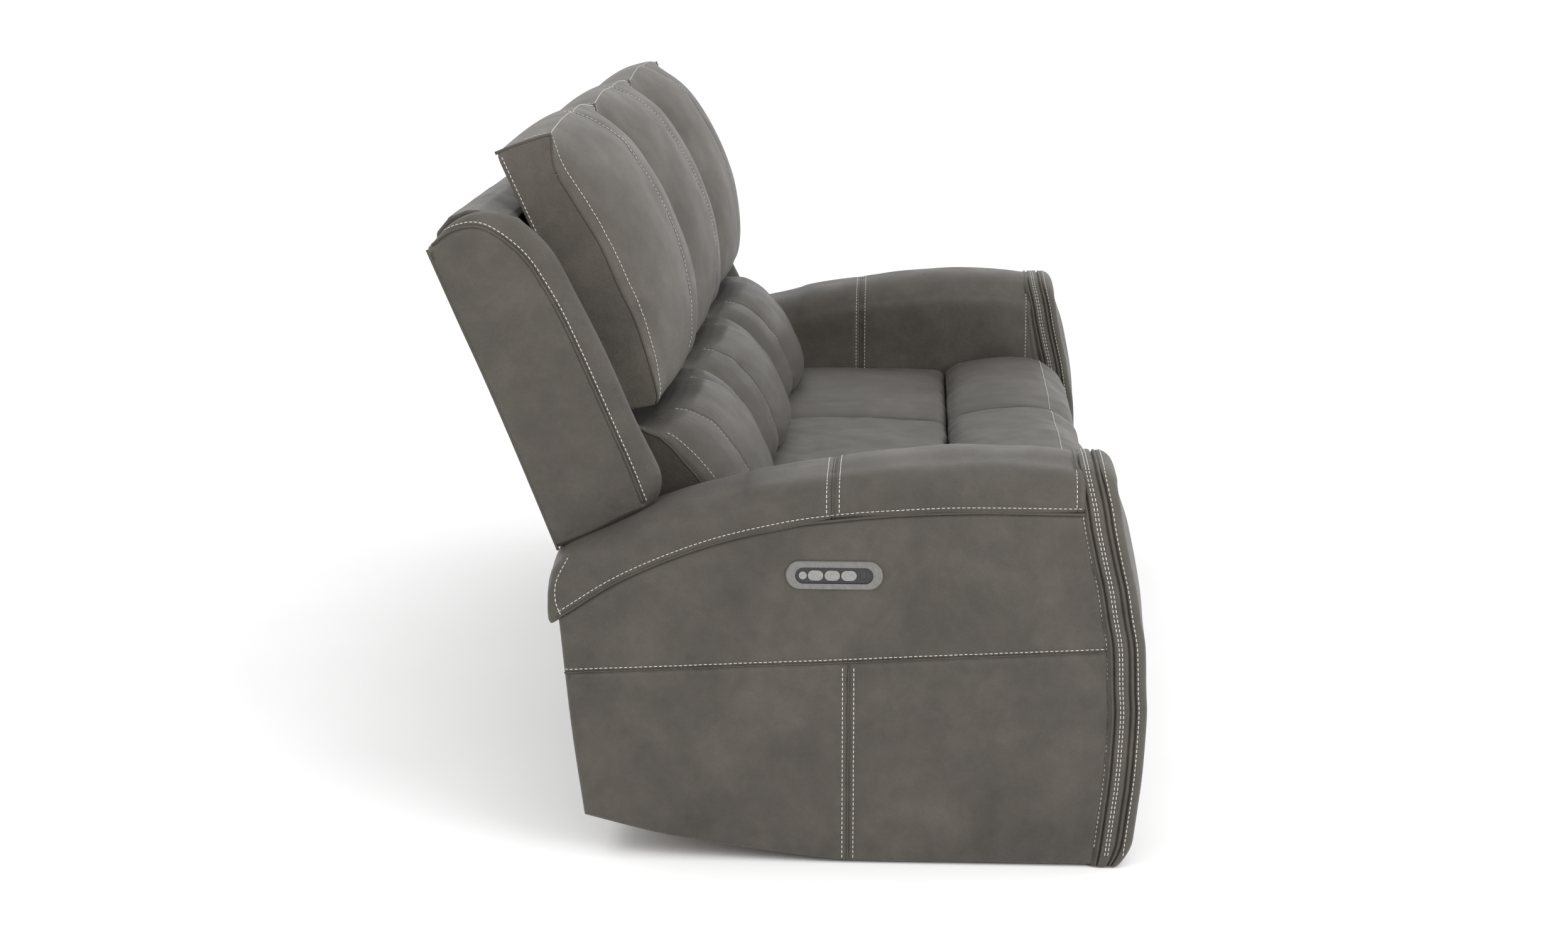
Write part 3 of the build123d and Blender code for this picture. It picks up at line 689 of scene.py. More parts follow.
def closed_path(points, count):
    """Smooth closed loop through points."""
    points = np.asarray(points, float)
    wrapped = np.vstack([points[-2:], points, points[:3]])
    t = np.linspace(0, 1, 12, endpoint=False)[:, None]
    runs = []
    for i in range(len(points)):
        a, b, c, d = wrapped[i + 1:i + 5]
        runs.append(0.5 * (2 * b + (c - a) * t + (2 * a - 5 * b + 4 * c - d) * t ** 2
                           + (3 * b - a - 3 * c + d) * t ** 3))
    fine = np.vstack(runs)
    fine = np.vstack([fine, fine[:1]])
    lengths = np.r_[0, np.cumsum(np.linalg.norm(np.diff(fine, axis=0), axis=1))]
    places = np.linspace(0, lengths[-1], count, endpoint=False)
    return np.column_stack([np.interp(places, lengths, fine[:, k]) for k in range(2)])


ARCH = [(-1.0850, FLOOR_GAP), (-1.0870, 0.150), (-1.0870, 0.300), (-1.0865, 0.430), (-1.0860, 0.520),
        (-1.0830, 0.565), (-1.0700, 0.598), (-1.0440, 0.616), (-0.9850, 0.622), (-0.9250, 0.617),
        (-0.8850, 0.600), (-0.8675, 0.566),
        (-0.8635, 0.520), (-0.8625, 0.430), (-0.8625, 0.300), (-0.8625, 0.150), (-0.8640, FLOOR_GAP)]
BAND_GROOVES = (0.0056, 0.029, 0.037)
BAND_GROOVE_DEPTHS = (0.0048, 0.0036, 0.0036)
BAND_STITCHES = (0.014, 0.0186, 0.0415)


def arch_frame(count):
    """Points of the arm's front arch with the outward normal and the seam place behind each."""
    arch = smooth_path(ARCH, count)
    ahead = np.gradient(arch, axis=0)
    normal = np.column_stack([-ahead[:, 1], ahead[:, 0]])
    normal /= np.linalg.norm(normal, axis=1)[:, None]
    edge = curve_value(EDGE_Y, arch[:, 1], 1, 0)
    return arch, normal, edge


def front_under(z):
    """How far the foot of the arm's front turns back."""
    return 0.016 * np.clip((0.045 - z) / 0.042, 0, 1) ** 2


def fascia_ring(arch, normal, edge, s, h):
    """One ring of the arm's front, at depth s forward of the seam and height h off the arch."""
    out = arch + normal * h[:, None]
    y = edge - s + front_under(arch[:, 1]) * np.clip(s / 0.05, 0, 1)
    return np.column_stack([out[:, 0], y, out[:, 1]])


def fascia():
    count = 300
    arch, normal, edge = arch_frame(count)
    upward = np.clip(normal[:, 1], 0, 1) ** 1.5
    start = 0.0415 - 0.006 * upward
    radius = 0.013 + 0.015 * upward
    rings = []
    steps = np.r_[np.linspace(-0.006, 0.0, 4), np.linspace(0.001, 0.040, 66)]
    for s in steps:
        h = np.full(count, -0.0010)
        if s < 0:
            h -= 0.006 * (-s / 0.006) ** 2
        bounds = (0.0,) + BAND_GROOVES + (0.060,)
        for g, deep in zip(BAND_GROOVES, BAND_GROOVE_DEPTHS):
            h -= deep * dip(abs(s - g), 0.0016)
        for a, b in zip(bounds[:-1], bounds[1:]):
            if a <= s <= b:
                h += 0.0022 * crown((s - a) / (b - a), 0.5)
        for g in BAND_STITCHES:
            h -= 0.0008 * dip(abs(s - g), 0.0016)
        clip = np.minimum(s, start)
        h += 0.0006 * ripple(np.column_stack([arch, np.full(count, s)]), 0.03, 11)
        rings.append(fascia_ring(arch, normal, edge, clip, h))
    face_height = -0.0005 + 0.0022 * crown(np.full(count, 0.35), 0.5)
    for angle in np.linspace(0.12, 1, 9) * math.pi / 2:
        s = start + radius * math.sin(angle)
        h = face_height - radius * (1 - math.cos(angle))
        rings.append(fascia_ring(arch, normal, edge, s, h))
    rim = rings[-1]
    spine_z = np.minimum(rim[:, 2], 0.515)
    spine = np.column_stack([np.full(count, -0.974), rim[:, 1], spine_z])
    for k in np.linspace(0.04, 1.0, 22):
        ring = rim * (1 - k) + spine * k
        y = curve_value(FRONT_Y, ring[:, 2], 1, 0)
        reach = 1 - (1 - k) ** 2
        ring[:, 1] = rim[:, 1] * (1 - reach) + y * reach
        ring[:, 1] += 0.0012 * ripple(ring, 0.15, 13) * k
        rings.append(ring)
    verts = np.vstack(rings)
    faces = grid_faces(len(rings), count)
    starts = [r * count for r in range(len(rings))]
    faces += grid_strip(starts, [start + count - 1 for start in starts])
    faces.append(tuple(range(count)))
    return piece("right_arm_front_leather", verts, faces, "root", LEATHER, merge=MERGE)


def grid_strip(first, second):
    return [(first[i], second[i], second[i + 1], first[i + 1]) for i in range(len(first) - 1)]


# ---- back profiles, (Y, Z) -----------------------------------------------------------------

def back_line(z, offset=0.0):
    """Y of a line parallel to the back panel's middle plane."""
    return 0.206 + 0.402 * (z - 0.190) + offset


WING_FRONT = [(0.199, 0.536), (0.189, 0.560), (0.187, 0.580), (0.193, 0.601), (0.225, 0.668), (0.269, 0.771),
              (0.310, 0.855), (0.351, 0.931), (0.398, 0.976)]
WING_LOW = [(0.199, 0.536), (0.240, 0.519), (0.290, 0.493), (0.347, 0.470)]
WING_REAR = [(0.347, 0.470), (0.398, 0.600), (0.449, 0.726), (0.492, 0.826), (0.536, 0.930)]
WING_TOP = [(0.398, 0.976), (0.430, 0.984), (0.464, 0.984), (0.500, 0.967), (0.536, 0.930)]
WING_PIPING = [(0.528, 0.935), (0.497, 0.957), (0.460, 0.965), (0.427, 0.952), (0.389, 0.920), (0.361, 0.879),
               (0.333, 0.828), (0.300, 0.754), (0.263, 0.668), (0.232, 0.594), (0.214, 0.545)]


def wing():
    place_flat = coons(WING_FRONT, WING_REAR, WING_LOW, WING_TOP)
    middle = -WING_OUTER + WING_THICK / 2
    round_rim = np.vstack([smooth_path(WING_FRONT, 120), smooth_path(WING_TOP, 60)])
    rear_rim = smooth_path(WING_REAR, 90)
    low_rim = smooth_path(WING_LOW, 60)
    piping = smooth_path(WING_PIPING, 140)

    def place(u, v):
        flat = place_flat(u, v)
        return np.concatenate([np.full(u.shape + (1,), middle), flat], axis=-1)

    def depth(u, v, points):
        flat = points[..., 1:]
        nose = line_distance(flat, round_rim)
        rear = line_distance(flat, rear_rim)
        low = line_distance(flat, low_rim)
        square = np.minimum(rear, low)
        seam = line_distance(flat, piping)
        shape = roll(nose, 0.032) * roll(rear, 0.005) * roll(low, 0.010)
        near = np.minimum(seam, square)
        inside = np.clip((nose - 0.034) / 0.02, 0, 1)
        puff = 0.0036 * (1 - np.exp(-(near / 0.05) ** 1.5)) * inside
        folds = 0.0009 * ripple(flat, 0.12, 21) + 0.0007 * ripple(flat, 0.024, 22) * np.exp(-near / 0.018)
        body = shape * 0.0245 + np.clip(square / 0.02, 0, 1) * np.clip(nose / 0.02, 0, 1) * (puff + folds)
        return body - 0.0024 * dip(seam, 0.0040) * np.clip(square / 0.01, 0, 1), body

    return pillow("right_wing_leather", place, (-1, 0, 0), depth, (230, 300), (0.93, 0.80), "right_back")


COVER_REAR = 0.030             # rear face of the outside back, from the back panel's middle plane
COVER_INNER = 0.0095
COVER_SEAM = 0.478              # level where the upper cover meets the narrower lower one


def upper_cover_section():
    low = COVER_SEAM
    points = [(back_line(low, COVER_INNER), low), (back_line(0.700, COVER_INNER), 0.700),
              (back_line(0.908, COVER_INNER), 0.908), (0.4250, 0.9480), (0.4180, 0.9620), (0.4260, 0.9700),
              (0.4640, 0.9850), (0.4830, 0.9835), (0.5120, 0.9720), (0.5300, 0.9500),
              (back_line(0.920, COVER_REAR), 0.920), (back_line(0.700, COVER_REAR + 0.003), 0.700),
              (back_line(low, COVER_REAR), low)]
    return cover_ring(points)


def lower_cover_section():
    high = COVER_SEAM + 0.004
    points = [(0.2590, 0.250), (back_line(0.310, COVER_INNER), 0.310), (back_line(high, COVER_INNER), high),
              (back_line(high, COVER_REAR), high), (back_line(0.400, COVER_REAR + 0.002), 0.400),
              (back_line(0.300, COVER_REAR), 0.300), (0.2780, 0.220), (0.2760, 0.138),
              (0.2720, 0.134), (0.2620, 0.136)]
    return cover_ring(points)


def cover_ring(points):
    runs = [smooth_path(np.array([points[i], points[(i + 1) % len(points)]]), 24, sharp=True)[:-1]
            for i in range(len(points))]
    return soften(np.vstack(runs), 8)


def back_cover(name, section, x_range, body):
    def shape(a, ring, normal):
        behind = np.clip((normal[:, 0] - 0.3) / 0.4, 0, 1)
        puff = 0.004 * crown(np.array([a]), 0.4)[0] - 0.004
        soft = 0.0014 * ripple(ring, 0.2, 31)
        ring = ring.copy()
        ring[:, 1] += behind * (puff + soft)
        return ring

    return loft(name, lambda a: section, x_range, 90, body, 0.003, shape=shape)


def back_lining(name, x_range, body):
    """Thin leather over the front of the back panel, seen between the cushions."""
    foot, head = 0.440, 0.945
    points = [(back_line(foot, -0.0100), foot), (back_line(head, -0.0100), head),
              (back_line(head, -0.0135), head), (back_line(foot, -0.0135), foot)]
    return loft(name, lambda a: cover_ring(points), x_range, 16, body, 0.0005)


# ---- cushions ------------------------------------------------------------------------------

def segments(parts, counts):
    """Closed loop of smooth runs joined at corners."""
    return soften(np.vstack([smooth_path(run, count + 1)[:-1] for run, count in zip(parts, counts)]), 6)


HEAD_COUNTS = (26, 110, 18, 70)
HEAD_SIDE = ([(0.451, 1.061), (0.420, 1.073), (0.390, 1.083), (0.363, 1.091)],
             [(0.363, 1.091), (0.357, 1.036), (0.327, 0.983), (0.289, 0.918), (0.260, 0.852), (0.236, 0.801),
              (0.214, 0.731), (0.203, 0.684), (0.207, 0.668)],
             [(0.207, 0.668), (0.240, 0.662), (0.272, 0.660)],
             [(0.272, 0.660), (0.330, 0.790), (0.390, 0.925), (0.451, 1.061)])
HEAD_CENTRE = ([(0.451, 1.061), (0.435, 1.078), (0.405, 1.095), (0.372, 1.102)],
               [(0.372, 1.102), (0.346, 1.093), (0.305, 1.070), (0.271, 1.038), (0.226, 0.968),
                (0.192, 0.890),
                (0.177, 0.831), (0.172, 0.765), (0.180, 0.706), (0.200, 0.677)],
               [(0.200, 0.677), (0.238, 0.661), (0.272, 0.660)],
               [(0.272, 0.660), (0.330, 0.790), (0.390, 0.925), (0.451, 1.061)])
LUMBAR_COUNTS = (24, 90, 20, 50)
LUMBAR_SEAMS = (0.25, 0.75)
LUMBAR_SIDE = ([(0.236, 0.636), (0.222, 0.626), (0.201, 0.618)],
               [(0.201, 0.618), (0.180, 0.599), (0.162, 0.577), (0.142, 0.553), (0.118, 0.520),
                (0.096, 0.480), (0.088, 0.450), (0.094, 0.437)],
               [(0.094, 0.437), (0.180, 0.437), (0.297, 0.437)],
               [(0.297, 0.437), (0.330, 0.520), (0.300, 0.610), (0.236, 0.636)])
LUMBAR_CENTRE = ([(0.236, 0.624), (0.212, 0.635), (0.184, 0.640)],
                 [(0.184, 0.640), (0.162, 0.640), (0.140, 0.632), (0.119, 0.619), (0.098, 0.595),
                  (0.077, 0.569), (0.059, 0.532), (0.048, 0.506), (0.042, 0.475), (0.052, 0.444)],
                 [(0.052, 0.444), (0.180, 0.437), (0.297, 0.437)],
                 [(0.297, 0.437), (0.330, 0.520), (0.300, 0.600), (0.236, 0.624)])


def swollen(side, middle, counts, power):
    """Loops of a cushion that swells from its side seams to its middle."""
    edge = segments(side, counts)
    full = segments(middle, counts)

    def loop_at(a):
        return edge + (full - edge) * crown(np.array([a]), power)[0]

    return loop_at


def sewn_in(lobes, seams, seed, rear_from):
    """Surface of a back cushion: lobes between its inner seams, soft folds and gathers at the seams."""
    def shape(a, ring, normal):
        gap = min(abs(a - s) for s in seams)
        side_gap = min(a, 1 - a)
        nearest = min(gap, side_gap)
        lift = lobes * (1 - math.exp(-(nearest / rear_from) ** 1.3))
        sink = 0.0026 * dip(gap * CUSHION_WIDTH, 0.0036) + 0.0022 * dip(gap * CUSHION_WIDTH, 0.018)
        front = np.clip((0.25 - normal[:, 0]) / 0.5, 0, 1)
        soft = 0.0018 * ripple(ring, 0.24, seed) + 0.0005 * ripple(ring, 0.07, seed + 1)
        tight = 0.0011 * ripple(ring * (0.35, 1.0, 1.0), 0.030, seed + 2)
        tight = tight * math.exp(-nearest * CUSHION_WIDTH / 0.022)
        move = front * ((lift + soft) * (1 - math.exp(-side_gap * CUSHION_WIDTH / 0.02)) + tight - sink)
        ring = ring.copy()
        ring[:, 1:] += normal * move[:, None]
        return ring

    return shape


def headrest(name, x_range, body, seed):
    loop_at = swollen(HEAD_SIDE, HEAD_CENTRE, HEAD_COUNTS, 0.70)
    shape = sewn_in(0.005, [0.5], seed, 0.16)
    # The headrests wear the paler copy of the leather, a painted highlight.
    return loft(name, loop_at, x_range, 200, body, 0.003, bunch=0.7, shape=shape,
                          material=PAINTED_HIGHLIGHT_LEATHER)


def lumbar(name, x_range, body, seed):
    loop_at = swollen(LUMBAR_SIDE, LUMBAR_CENTRE, LUMBAR_COUNTS, 0.50)
    shape = sewn_in(0.007, LUMBAR_SEAMS, seed, 0.09)
    return loft(name, loop_at, x_range, 200, body, 0.003, bunch=0.7, shape=shape)


SEAT_COUNTS = (16, 110, 16, 60)
SEAT_EDGE = ([(-0.262, 0.323), (-0.2625, 0.380), (-0.2600, 0.402)],
             [(-0.2600, 0.402), (-0.230, 0.409), (-0.050, 0.410), (0.120, 0.408), (0.196, 0.400)],
             [(0.196, 0.400), (0.203, 0.380), (0.203, 0.323)],
             [(0.203, 0.323), (0.0, 0.323), (-0.262, 0.323)])
SEAT_FULL = ([(-0.262, 0.323), (-0.2635, 0.390), (-0.2610, 0.424)],
             [(-0.2610, 0.424), (-0.235, 0.437), (-0.100, 0.445), (0.100, 0.438), (0.190, 0.420)],
             [(0.190, 0.420), (0.203, 0.390), (0.203, 0.323)],
             [(0.203, 0.323), (0.0, 0.323), (-0.262, 0.323)])
ROLL_COUNTS = (90, 30, 30, 40)
ROLL_EDGE = ([(-0.2645, 0.412), (-0.300, 0.426), (-0.385, 0.438), (-0.450, 0.434), (-0.500, 0.412),
              (-0.514, 0.385)],
             [(-0.514, 0.385), (-0.512, 0.355), (-0.490, 0.330), (-0.462, 0.325)],
             [(-0.462, 0.325), (-0.3600, 0.323), (-0.2645, 0.323)],
             [(-0.2645, 0.323), (-0.2650, 0.370), (-0.2645, 0.412)])
ROLL_FULL = ([(-0.2640, 0.428), (-0.295, 0.451), (-0.385, 0.467), (-0.460, 0.462), (-0.510, 0.428),
              (-0.523, 0.385)],
             [(-0.523, 0.385), (-0.520, 0.352), (-0.495, 0.328), (-0.462, 0.325)],
             [(-0.462, 0.325), (-0.3600, 0.323), (-0.2645, 0.323)],
             [(-0.2645, 0.323), (-0.2640, 0.370), (-0.2640, 0.428)])


def seat_part(name, edge, full, counts, x_range, body, seed, power):
    loop_at = swollen(edge, full, counts, power)
    return loft(name, loop_at, x_range, 150, body, 0.008, bunch=0.5, shape=seat_soft(seed))


def seat_soft(seed):
    """Uneven sat-on surface, with gathers along the cross seam."""
    def shape(a, ring, normal):
        side_gap = min(a, 1 - a) * CUSHION_WIDTH
        seam = np.abs(ring[:, 1] + 0.263)
        upward = np.clip((normal[:, 1] + 0.1) / 0.5, 0, 1)
        forward = np.clip((-normal[:, 0] - 0.5) / 0.3, 0, 1) * (ring[:, 1] < -0.40)
        facing = np.clip(upward + forward, 0, 1)
        soft = 0.0030 * ripple(ring, 0.20, seed) + 0.0011 * ripple(ring, 0.06, seed + 1)
        tight = 0.0022 * ripple(ring * (1.0, 0.25, 0.3), 0.035, seed + 2)
        tight *= np.exp(-np.minimum(seam, side_gap) / 0.03)
        ring = ring.copy()
        move = facing * (soft + tight) * (1 - math.exp(-side_gap / 0.02))
        ring[:, 1:] += normal * move[:, None]
        return ring
    return shape


def front_board(name, x_range, body, seed):
    low, high, front, back = 0.055, 0.3215, -0.521, -0.476
    side = ([(back, low), (-0.500, low), (front + 0.012, low + 0.006)],
            [(front + 0.012, low + 0.006), (front + 0.003, low + 0.030), (front + 0.002, 0.190),
             (front + 0.003, high - 0.030), (front + 0.012, high - 0.006)],
            [(front + 0.012, high - 0.006), (-0.500, high), (back, high)],
            [(back, high), (back, 0.190), (back, low)])
    middle = (side[0], [(front + 0.012, low + 0.006), (front - 0.001, low + 0.030), (front - 0.005, 0.190),
                        (front - 0.001, high - 0.030), (front + 0.012, high - 0.006)], side[2], side[3])
    loop_at = swollen(side, middle, (20, 80, 20, 40), 0.35)

    def shape(a, ring, normal):
        front_facing = np.clip((-normal[:, 0] - 0.4) / 0.4, 0, 1)
        edge = min(a, 1 - a) * CUSHION_WIDTH
        soft = 0.0016 * ripple(ring, 0.16, seed) * (1 - math.exp(-edge / 0.03))
        ring = ring.copy()
        ring[:, 1:] += normal * (front_facing * soft)[:, None]
        return ring

    return loft(name, loop_at, x_range, 130, body, 0.012, bunch=0.5, shape=shape)


# ---- build the pieces ----------------------------------------------------------------------

paint_cad_nodes()


def at_side(path, count, x=-1.2):
    return [(x, y, z) for y, z in smooth_path(path, count)]


arm_side = side_panel()
arm_top = arm_pad()
arm_front = fascia()
arm_back_end = arm_rear()
side_tree = surface_tree(arm_side)
pad_tree = surface_tree(arm_top)
arm_sewing = Sewing()
level_row = [(0.328, 0.3025)] + LEVEL_SEAM[1:-1] + [(-0.491, 0.3457)]
arm_sewing.row(project(side_tree, at_side(level_row, 160), ACROSS))
for side in (-1, 1):
    stitch_y = UPRIGHT_SEAM_Y + side * UPRIGHT_STITCH
    arm_sewing.row(project(side_tree, [(-1.2, stitch_y, z) for z in np.linspace(0.008, 0.312, 80)], ACROSS))
edge_row = [(y + 0.004, z) for y, z in PANEL_FRONT[1:]]
arm_sewing.row(project(side_tree, at_side(edge_row, 120), ACROSS))
pad_row = [(y, z + 0.0085) for y, z in PAD_SEAM]
arm_sewing.row(project(pad_tree, at_side(pad_row, 160), ACROSS))


def over_pad(y, count=150):
    """Points across the pad from its outer seam, over the crest and down its inner side."""
    centre = Vector((-0.985, y, 0.44))
    seam = float(curve_value(PAD_SEAM_LONG, y)) + 0.010
    spots = []
    low = math.atan2(seam - centre.z, -1.088 + 0.985)
    for angle in np.linspace(low, math.radians(24), count):
        way = Vector((math.cos(angle), 0, math.sin(angle)))
        hit, normal, _, _ = pad_tree.ray_cast(centre + way * 0.6, -way, 0.7)
        if hit is not None:
            spots.append((np.array(hit), np.array(normal)))
    for z in np.linspace(0.478, 0.33, 30):
        hit, normal, _, _ = pad_tree.ray_cast(Vector((-0.80, y, z)), Vector((-1, 0, 0)), 0.2)
        if hit is not None:
            spots.append((np.array(hit), np.array(normal)))
    return spots


for row_y in (PAD_CROSS_Y - PAD_CROSS_STITCH, PAD_CROSS_Y + PAD_CROSS_STITCH, PAD_FRONT_ROW_Y):
    arm_sewing.row(over_pad(row_y))
pad_end_row = [(y - 0.011, z) for y, z in [(0.333, 0.472), (0.349, 0.440), (0.350, 0.412), (0.343, 0.388)]]
arm_sewing.row(project(pad_tree, at_side(pad_end_row, 40), ACROSS))
band_tree = surface_tree(arm_front)
band_arch, band_normal, band_edge = arch_frame(260)
for s in BAND_STITCHES:
    line = [(p[0] + n[0] * 0.02, e - s, p[1] + n[1] * 0.02)
            for p, n, e in list(zip(band_arch, band_normal, band_edge))[3:-3]]
    spots = []
    for start, n in zip(line, band_normal[3:-3]):
        hit, normal, _, _ = band_tree.ray_cast(Vector(start), Vector((-n[0], 0, -n[1])), 0.06)
        if hit is not None:
            spots.append((np.array(hit), np.array(normal)))
    arm_sewing.row(spots)
arm_stitches = arm_sewing.make("right_arm_stitching", "root")
level_line = at_side([(y, z - WELT_DROP) for y, z in LEVEL_SEAM], 160)
level_welt = welt("right_arm_level_welt", project(side_tree, level_line, ACROSS), 0.0017, "root")
upright_line = [(-1.2, UPRIGHT_SEAM_Y, z) for z in np.linspace(0.006, 0.312, 70)]
upright_welt = welt("right_arm_upright_welt", project(side_tree, upright_line, ACROSS), 0.0019, "root")
cross_welt = welt("right_pad_cross_welt", over_pad(PAD_CROSS_Y), 0.0023, "root")
pad_edge = [(np.array((-1.0845, y, z - 0.001)), np.array((-1.0, 0, 0)))
            for y, z in smooth_path(PAD_SEAM, 200)]
pad_welt = welt("right_pad_edge_welt", pad_edge, 0.0022, "root")

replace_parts(arm_side, "right_arm_side_panel")
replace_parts(arm_top, "right_arm_pad", "right_arm_inner_panel")
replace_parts(arm_front, "right_arm_fascia")
arm_pieces = (arm_side, arm_top, arm_front, arm_back_end, arm_stitches, level_welt, upright_welt, cross_welt,
              pad_welt)
right_pieces = [(o, "root") for o in arm_pieces]

wing_piece = wing()
cover = back_cover("right_back_cover_leather", upper_cover_section(), INSIDE_WING, "right_back")
lining = back_lining("right_back_lining_leather", INSIDE_WING, "right_back")
lower_cover = back_cover("right_back_skirt_leather", lower_cover_section(), END_RANGE, "right_back")
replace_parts(wing_piece, "right_outside_back")
wing_tree = surface_tree(wing_piece)
back_sewing = Sewing()
piping_path = smooth_path(WING_PIPING, 170)
beside = [(-1.2, y, z) for y, z in shifted(piping_path, 0.0065)[6:]]
back_sewing.row(project(wing_tree, beside, ACROSS))
wing_line = project(wing_tree, [(-1.2, y, z) for y, z in piping_path], ACROSS)
wing_welt = welt("right_wing_welt", wing_line, 0.0024, "right_back")
wing_edge = [(np.array((-WING_OUTER + 0.0035, y - 0.003, z)), np.array((-0.8, 0.6, 0)))
             for y, z in smooth_path(WING_REAR, 110)]
rear_welt = welt("right_wing_rear_welt", wing_edge, 0.0024, "right_back")

head = headrest("right_headrest_leather", END_RANGE, "right_headrest", 41)
low_back = lumbar("right_lumbar_leather", END_RANGE, "right_back", 51)
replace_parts(head, "right_headrest_cushion")
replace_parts(low_back, "right_lumbar_cushion")
seat = seat_part("right_seat_leather", SEAT_EDGE, SEAT_FULL, SEAT_COUNTS, END_RANGE, "right_seat", 61, 0.30)
front_roll = seat_part("right_seat_roll_leather", ROLL_EDGE, ROLL_FULL, ROLL_COUNTS, ROLL_RANGE, "right_seat",
                       71, 0.28)
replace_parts(seat, "right_seat_cushion")
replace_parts(front_roll, "right_seat_bolster")
board = front_board("right_footrest_leather", END_RANGE, "right_footrest", 81)
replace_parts(board, "right_footrest_board")


def front_spots(tree, x, top, bottom, count, centre=(0.30, 0.86), reach=0.6):
    """Points down the front of a cushion at one X, found from a centre line behind the face."""
    spots = []
    for k in np.linspace(0, 1, count):
        angle = top + (bottom - top) * k
        way = Vector((0, math.cos(angle), math.sin(angle)))
        hit, normal, _, _ = tree.ray_cast(Vector((x, *centre)) + way * reach, -way, reach)
        if hit is not None:
            spots.append((np.array(hit), np.array(normal)))
    return spots


def head_seams(obj, x_range, sewing):
    """Down the middle and both ends of the front, round the rear of each side, and along the top."""
    tree = surface_tree(obj)
    middle = sum(x_range) / 2
    top, bottom = math.radians(75), math.radians(243)
    sewing.row(front_spots(tree, middle + 0.0050, top, bottom, 160, centre=(0.33, 0.90)))
    rear_edge = shifted(smooth_path([(0.449, 1.052), (0.390, 0.919), (0.330, 0.784)], 60), 0.0085)
    for end, way in ((x_range[0], 1), (x_range[1], -1)):
        sewing.row(front_spots(tree, end + way * 0.0115, top, bottom, 160, centre=(0.36, 0.90)))
        side = [(end - way * 0.05, y, z) for y, z in rear_edge]
        sewing.row(project(tree, side, (way, 0, 0)))
    xs = np.linspace(x_range[0] + 0.006, x_range[1] - 0.006, 130)
    sewing.row(project(tree, [(x, 0.3665, 1.20) for x in xs], (0, 0, -1), 0.2))


def lumbar_seams(obj, x_range, sewing):
    """Down the front at both inner seams and at both ends."""
    tree = surface_tree(obj)
    width = x_range[1] - x_range[0]
    places = [x_range[0] + share * width for share in LUMBAR_SEAMS]
    places += [x_range[0] + 0.012, x_range[1] - 0.012]
    top, bottom = math.radians(95), math.radians(215)
    for x in places:
        sewing.row(front_spots(tree, x, top, bottom, 90, centre=(0.20, 0.53), reach=0.3))


head_sewing = Sewing()
head_seams(head, END_RANGE, head_sewing)
lumbar_seams(low_back, END_RANGE, back_sewing)
head_stitches = head_sewing.make("right_headrest_stitching", "right_headrest")
back_stitches = back_sewing.make("right_back_stitching", "right_back")


def seat_seams(obj, x_range, sewing):
    tree = surface_tree(obj)
    xs = np.linspace(x_range[0] + 0.012, x_range[1] - 0.012, 120)
    sewing.row(project(tree, [(x, -0.466, 0.50) for x in xs], (0, 0, -1)))


seat_sewing = Sewing()
seat_seams(front_roll, END_RANGE, seat_sewing)
seat_stitches = seat_sewing.make("right_seat_stitching", "right_seat")


def end_welt(name, side, counts, x, body, radius=0.0028, runs=(0, 1)):
    """Piping round the edge of a cushion's side at one X."""
    loop = shifted(np.vstack([smooth_path(side[r], counts[r] + 1)[:-1] for r in runs]), -0.0018)
    spots = []
    centre = loop.mean(axis=0)
    for y, z in smooth_path(loop, 150, sharp=True):
        way = np.array([0.0, y - centre[0], z - centre[1]])
        spots.append((np.array([x, y, z]), way / np.linalg.norm(way)))
    return welt(name, spots, radius, body)


back_pieces = (wing_piece, cover, lower_cover, lining, wing_welt, rear_welt, low_back, back_stitches)
right_pieces += [(o, "left_back") for o in back_pieces]
right_pieces += [(o, "left_headrest") for o in (head, head_stitches)]
right_pieces += [(o, "left_seat") for o in (seat, front_roll, seat_stitches)]
right_pieces += [(board, "left_footrest")]
for edge_x, tag in ((END_RANGE[0] + WELT_INSET, "outer"), (END_RANGE[1] - WELT_INSET, "inner")):
    head_welt = end_welt(f"right_headrest_{tag}_welt", HEAD_SIDE, HEAD_COUNTS, edge_x, "right_headrest")
    lumbar_welt = end_welt(f"right_lumbar_{tag}_welt", LUMBAR_SIDE, LUMBAR_COUNTS, edge_x, "right_back")
    right_pieces += [(head_welt, "left_headrest"), (lumbar_welt, "left_back")]

for source, body in right_pieces:
    twin = mirrored(source, source.name.replace("right_", "left_"), body)
    for node in source.get("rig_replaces", []):
        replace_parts(twin, node.replace("right_", "left_"))

centre_head = headrest("centre_headrest_leather", CENTRE_RANGE, "root", 43)
centre_lumbar = lumbar("centre_lumbar_leather", CENTRE_RANGE, "root", 53)
centre_seat = seat_part("centre_seat_leather", SEAT_EDGE, SEAT_FULL, SEAT_COUNTS, CENTRE_RANGE, "root",
                        63, 0.30)
centre_roll = seat_part("centre_seat_roll_leather", ROLL_EDGE, ROLL_FULL, ROLL_COUNTS, CENTRE_RANGE, "root",
                        73, 0.28)
centre_board = front_board("centre_front_leather", CENTRE_RANGE, "root", 83)
centre_cover = back_cover("centre_back_cover_leather", upper_cover_section(), CENTRE_RANGE, "root")
back_lining("centre_back_lining_leather", CENTRE_RANGE, "root")
back_cover("centre_back_skirt_leather", lower_cover_section(), CENTRE_RANGE, "root")
for obj, node in ((centre_head, "centre_headrest_cushion"), (centre_lumbar, "centre_lumbar_cushion"),
                  (centre_seat, "centre_seat_cushion"), (centre_roll, "centre_seat_bolster"),
                  (centre_board, "centre_front_panel"), (centre_cover, "centre_outside_back")):
    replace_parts(obj, node)
centre_sewing = Sewing()
head_seams(centre_head, CENTRE_RANGE, centre_sewing)
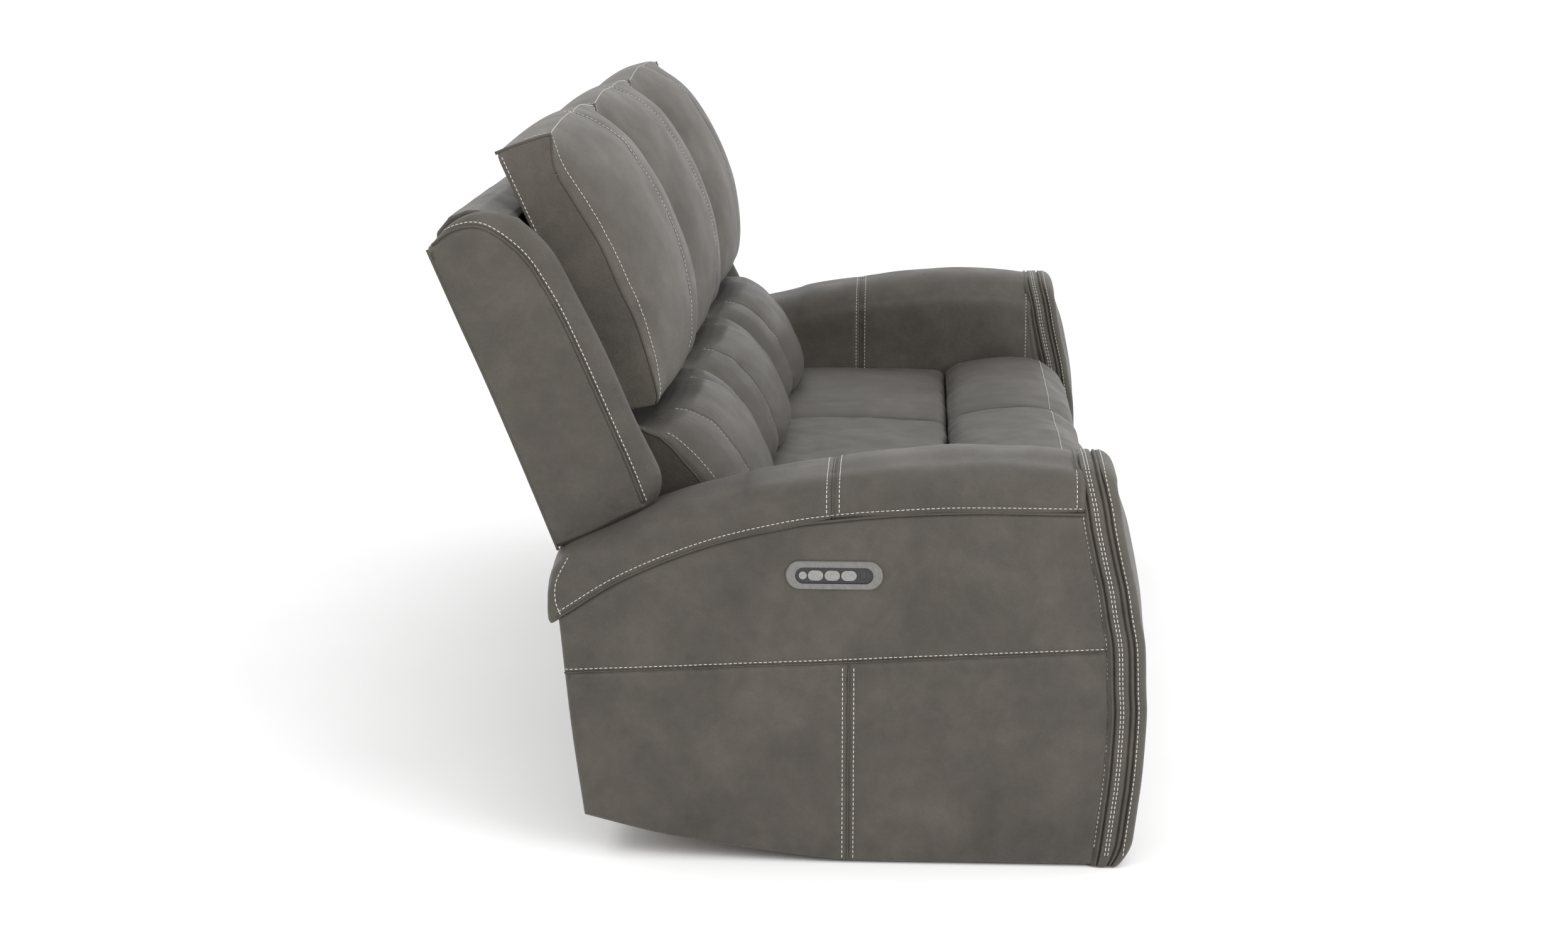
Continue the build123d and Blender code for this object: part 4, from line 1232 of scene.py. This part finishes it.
lumbar_seams(centre_lumbar, CENTRE_RANGE, centre_sewing)
seat_seams(centre_roll, CENTRE_RANGE, centre_sewing)
centre_sewing.make("centre_stitching", "root")
for edge_x, tag in ((CENTRE_RANGE[0] + WELT_INSET, "right"), (CENTRE_RANGE[1] - WELT_INSET, "left")):
    end_welt(f"centre_headrest_{tag}_welt", HEAD_SIDE, HEAD_COUNTS, edge_x, "root")
    end_welt(f"centre_lumbar_{tag}_welt", LUMBAR_SIDE, LUMBAR_COUNTS, edge_x, "root")


# ---- floor, light and camera ---------------------------------------------------------------

def studio():
    mesh = bpy.data.meshes.new("studio_floor")
    mesh.from_pydata([(-40, -40, 0), (40, -40, 0), (40, 40, 0), (-40, 40, 0)], [], [(0, 1, 2, 3)])
    floor = bpy.data.objects.new("studio_floor", mesh)
    bpy.context.scene.collection.objects.link(floor)
    material, tree, shader, coords = new_material("pale_floor")
    tone = ramp(tree, noise(tree, coords, 3.0), [(0.3, grey(0.95)), (0.7, grey(0.97))])
    tree.links.new(tone, shader.inputs["Base Color"])
    shader.inputs["Roughness"].default_value = 0.75
    shader.inputs["Specular IOR Level"].default_value = 0.15
    mesh.materials.append(material)
    world = bpy.data.worlds.new("studio")
    world.use_nodes = True
    background = world.node_tree.nodes["Background"]
    background.inputs["Color"].default_value = (1.0, 1.0, 1.0, 1.0)
    background.inputs["Strength"].default_value = 1.16
    bpy.context.scene.world = world


def soft_light(name, place, aim, size, power):
    data = bpy.data.lights.new(name, "AREA")
    data.shape = "SQUARE"
    data.size = size
    data.energy = power
    lamp = bpy.data.objects.new(name, data)
    lamp.location = place
    lamp.rotation_euler = (Vector(aim) - Vector(place)).to_track_quat("-Z", "Y").to_euler()
    bpy.context.scene.collection.objects.link(lamp)


def camera():
    yaw, pitch = math.radians(2.7986), math.radians(12.1423)
    data = bpy.data.cameras.new("photo_view")
    data.sensor_width = 36.0
    data.lens = 61.99
    data.clip_start = 0.1
    data.clip_end = 200.0
    eye = bpy.data.objects.new("photo_view", data)
    eye.location = (-4.9935, -0.1958, 1.4632)
    ahead = Vector((math.cos(pitch) * math.cos(yaw), math.cos(pitch) * math.sin(yaw), -math.sin(pitch)))
    eye.rotation_euler = ahead.to_track_quat("-Z", "Y").to_euler()
    bpy.context.scene.collection.objects.link(eye)
    bpy.context.scene.camera = eye


studio()
soft_light("overhead", (-0.5, -1.2, 3.3), (0.0, 0.0, 0.6), 2.6, 12.0)
soft_light("key", (-3.4, -2.6, 1.7), (-0.4, 0.0, 0.6), 1.8, 62.0)
soft_light("wing_light", (-2.3, 1.5, 2.2), (-1.0, 0.3, 0.8), 0.9, 12.0)
camera()
bpy.context.scene.view_settings.view_transform = "Standard"
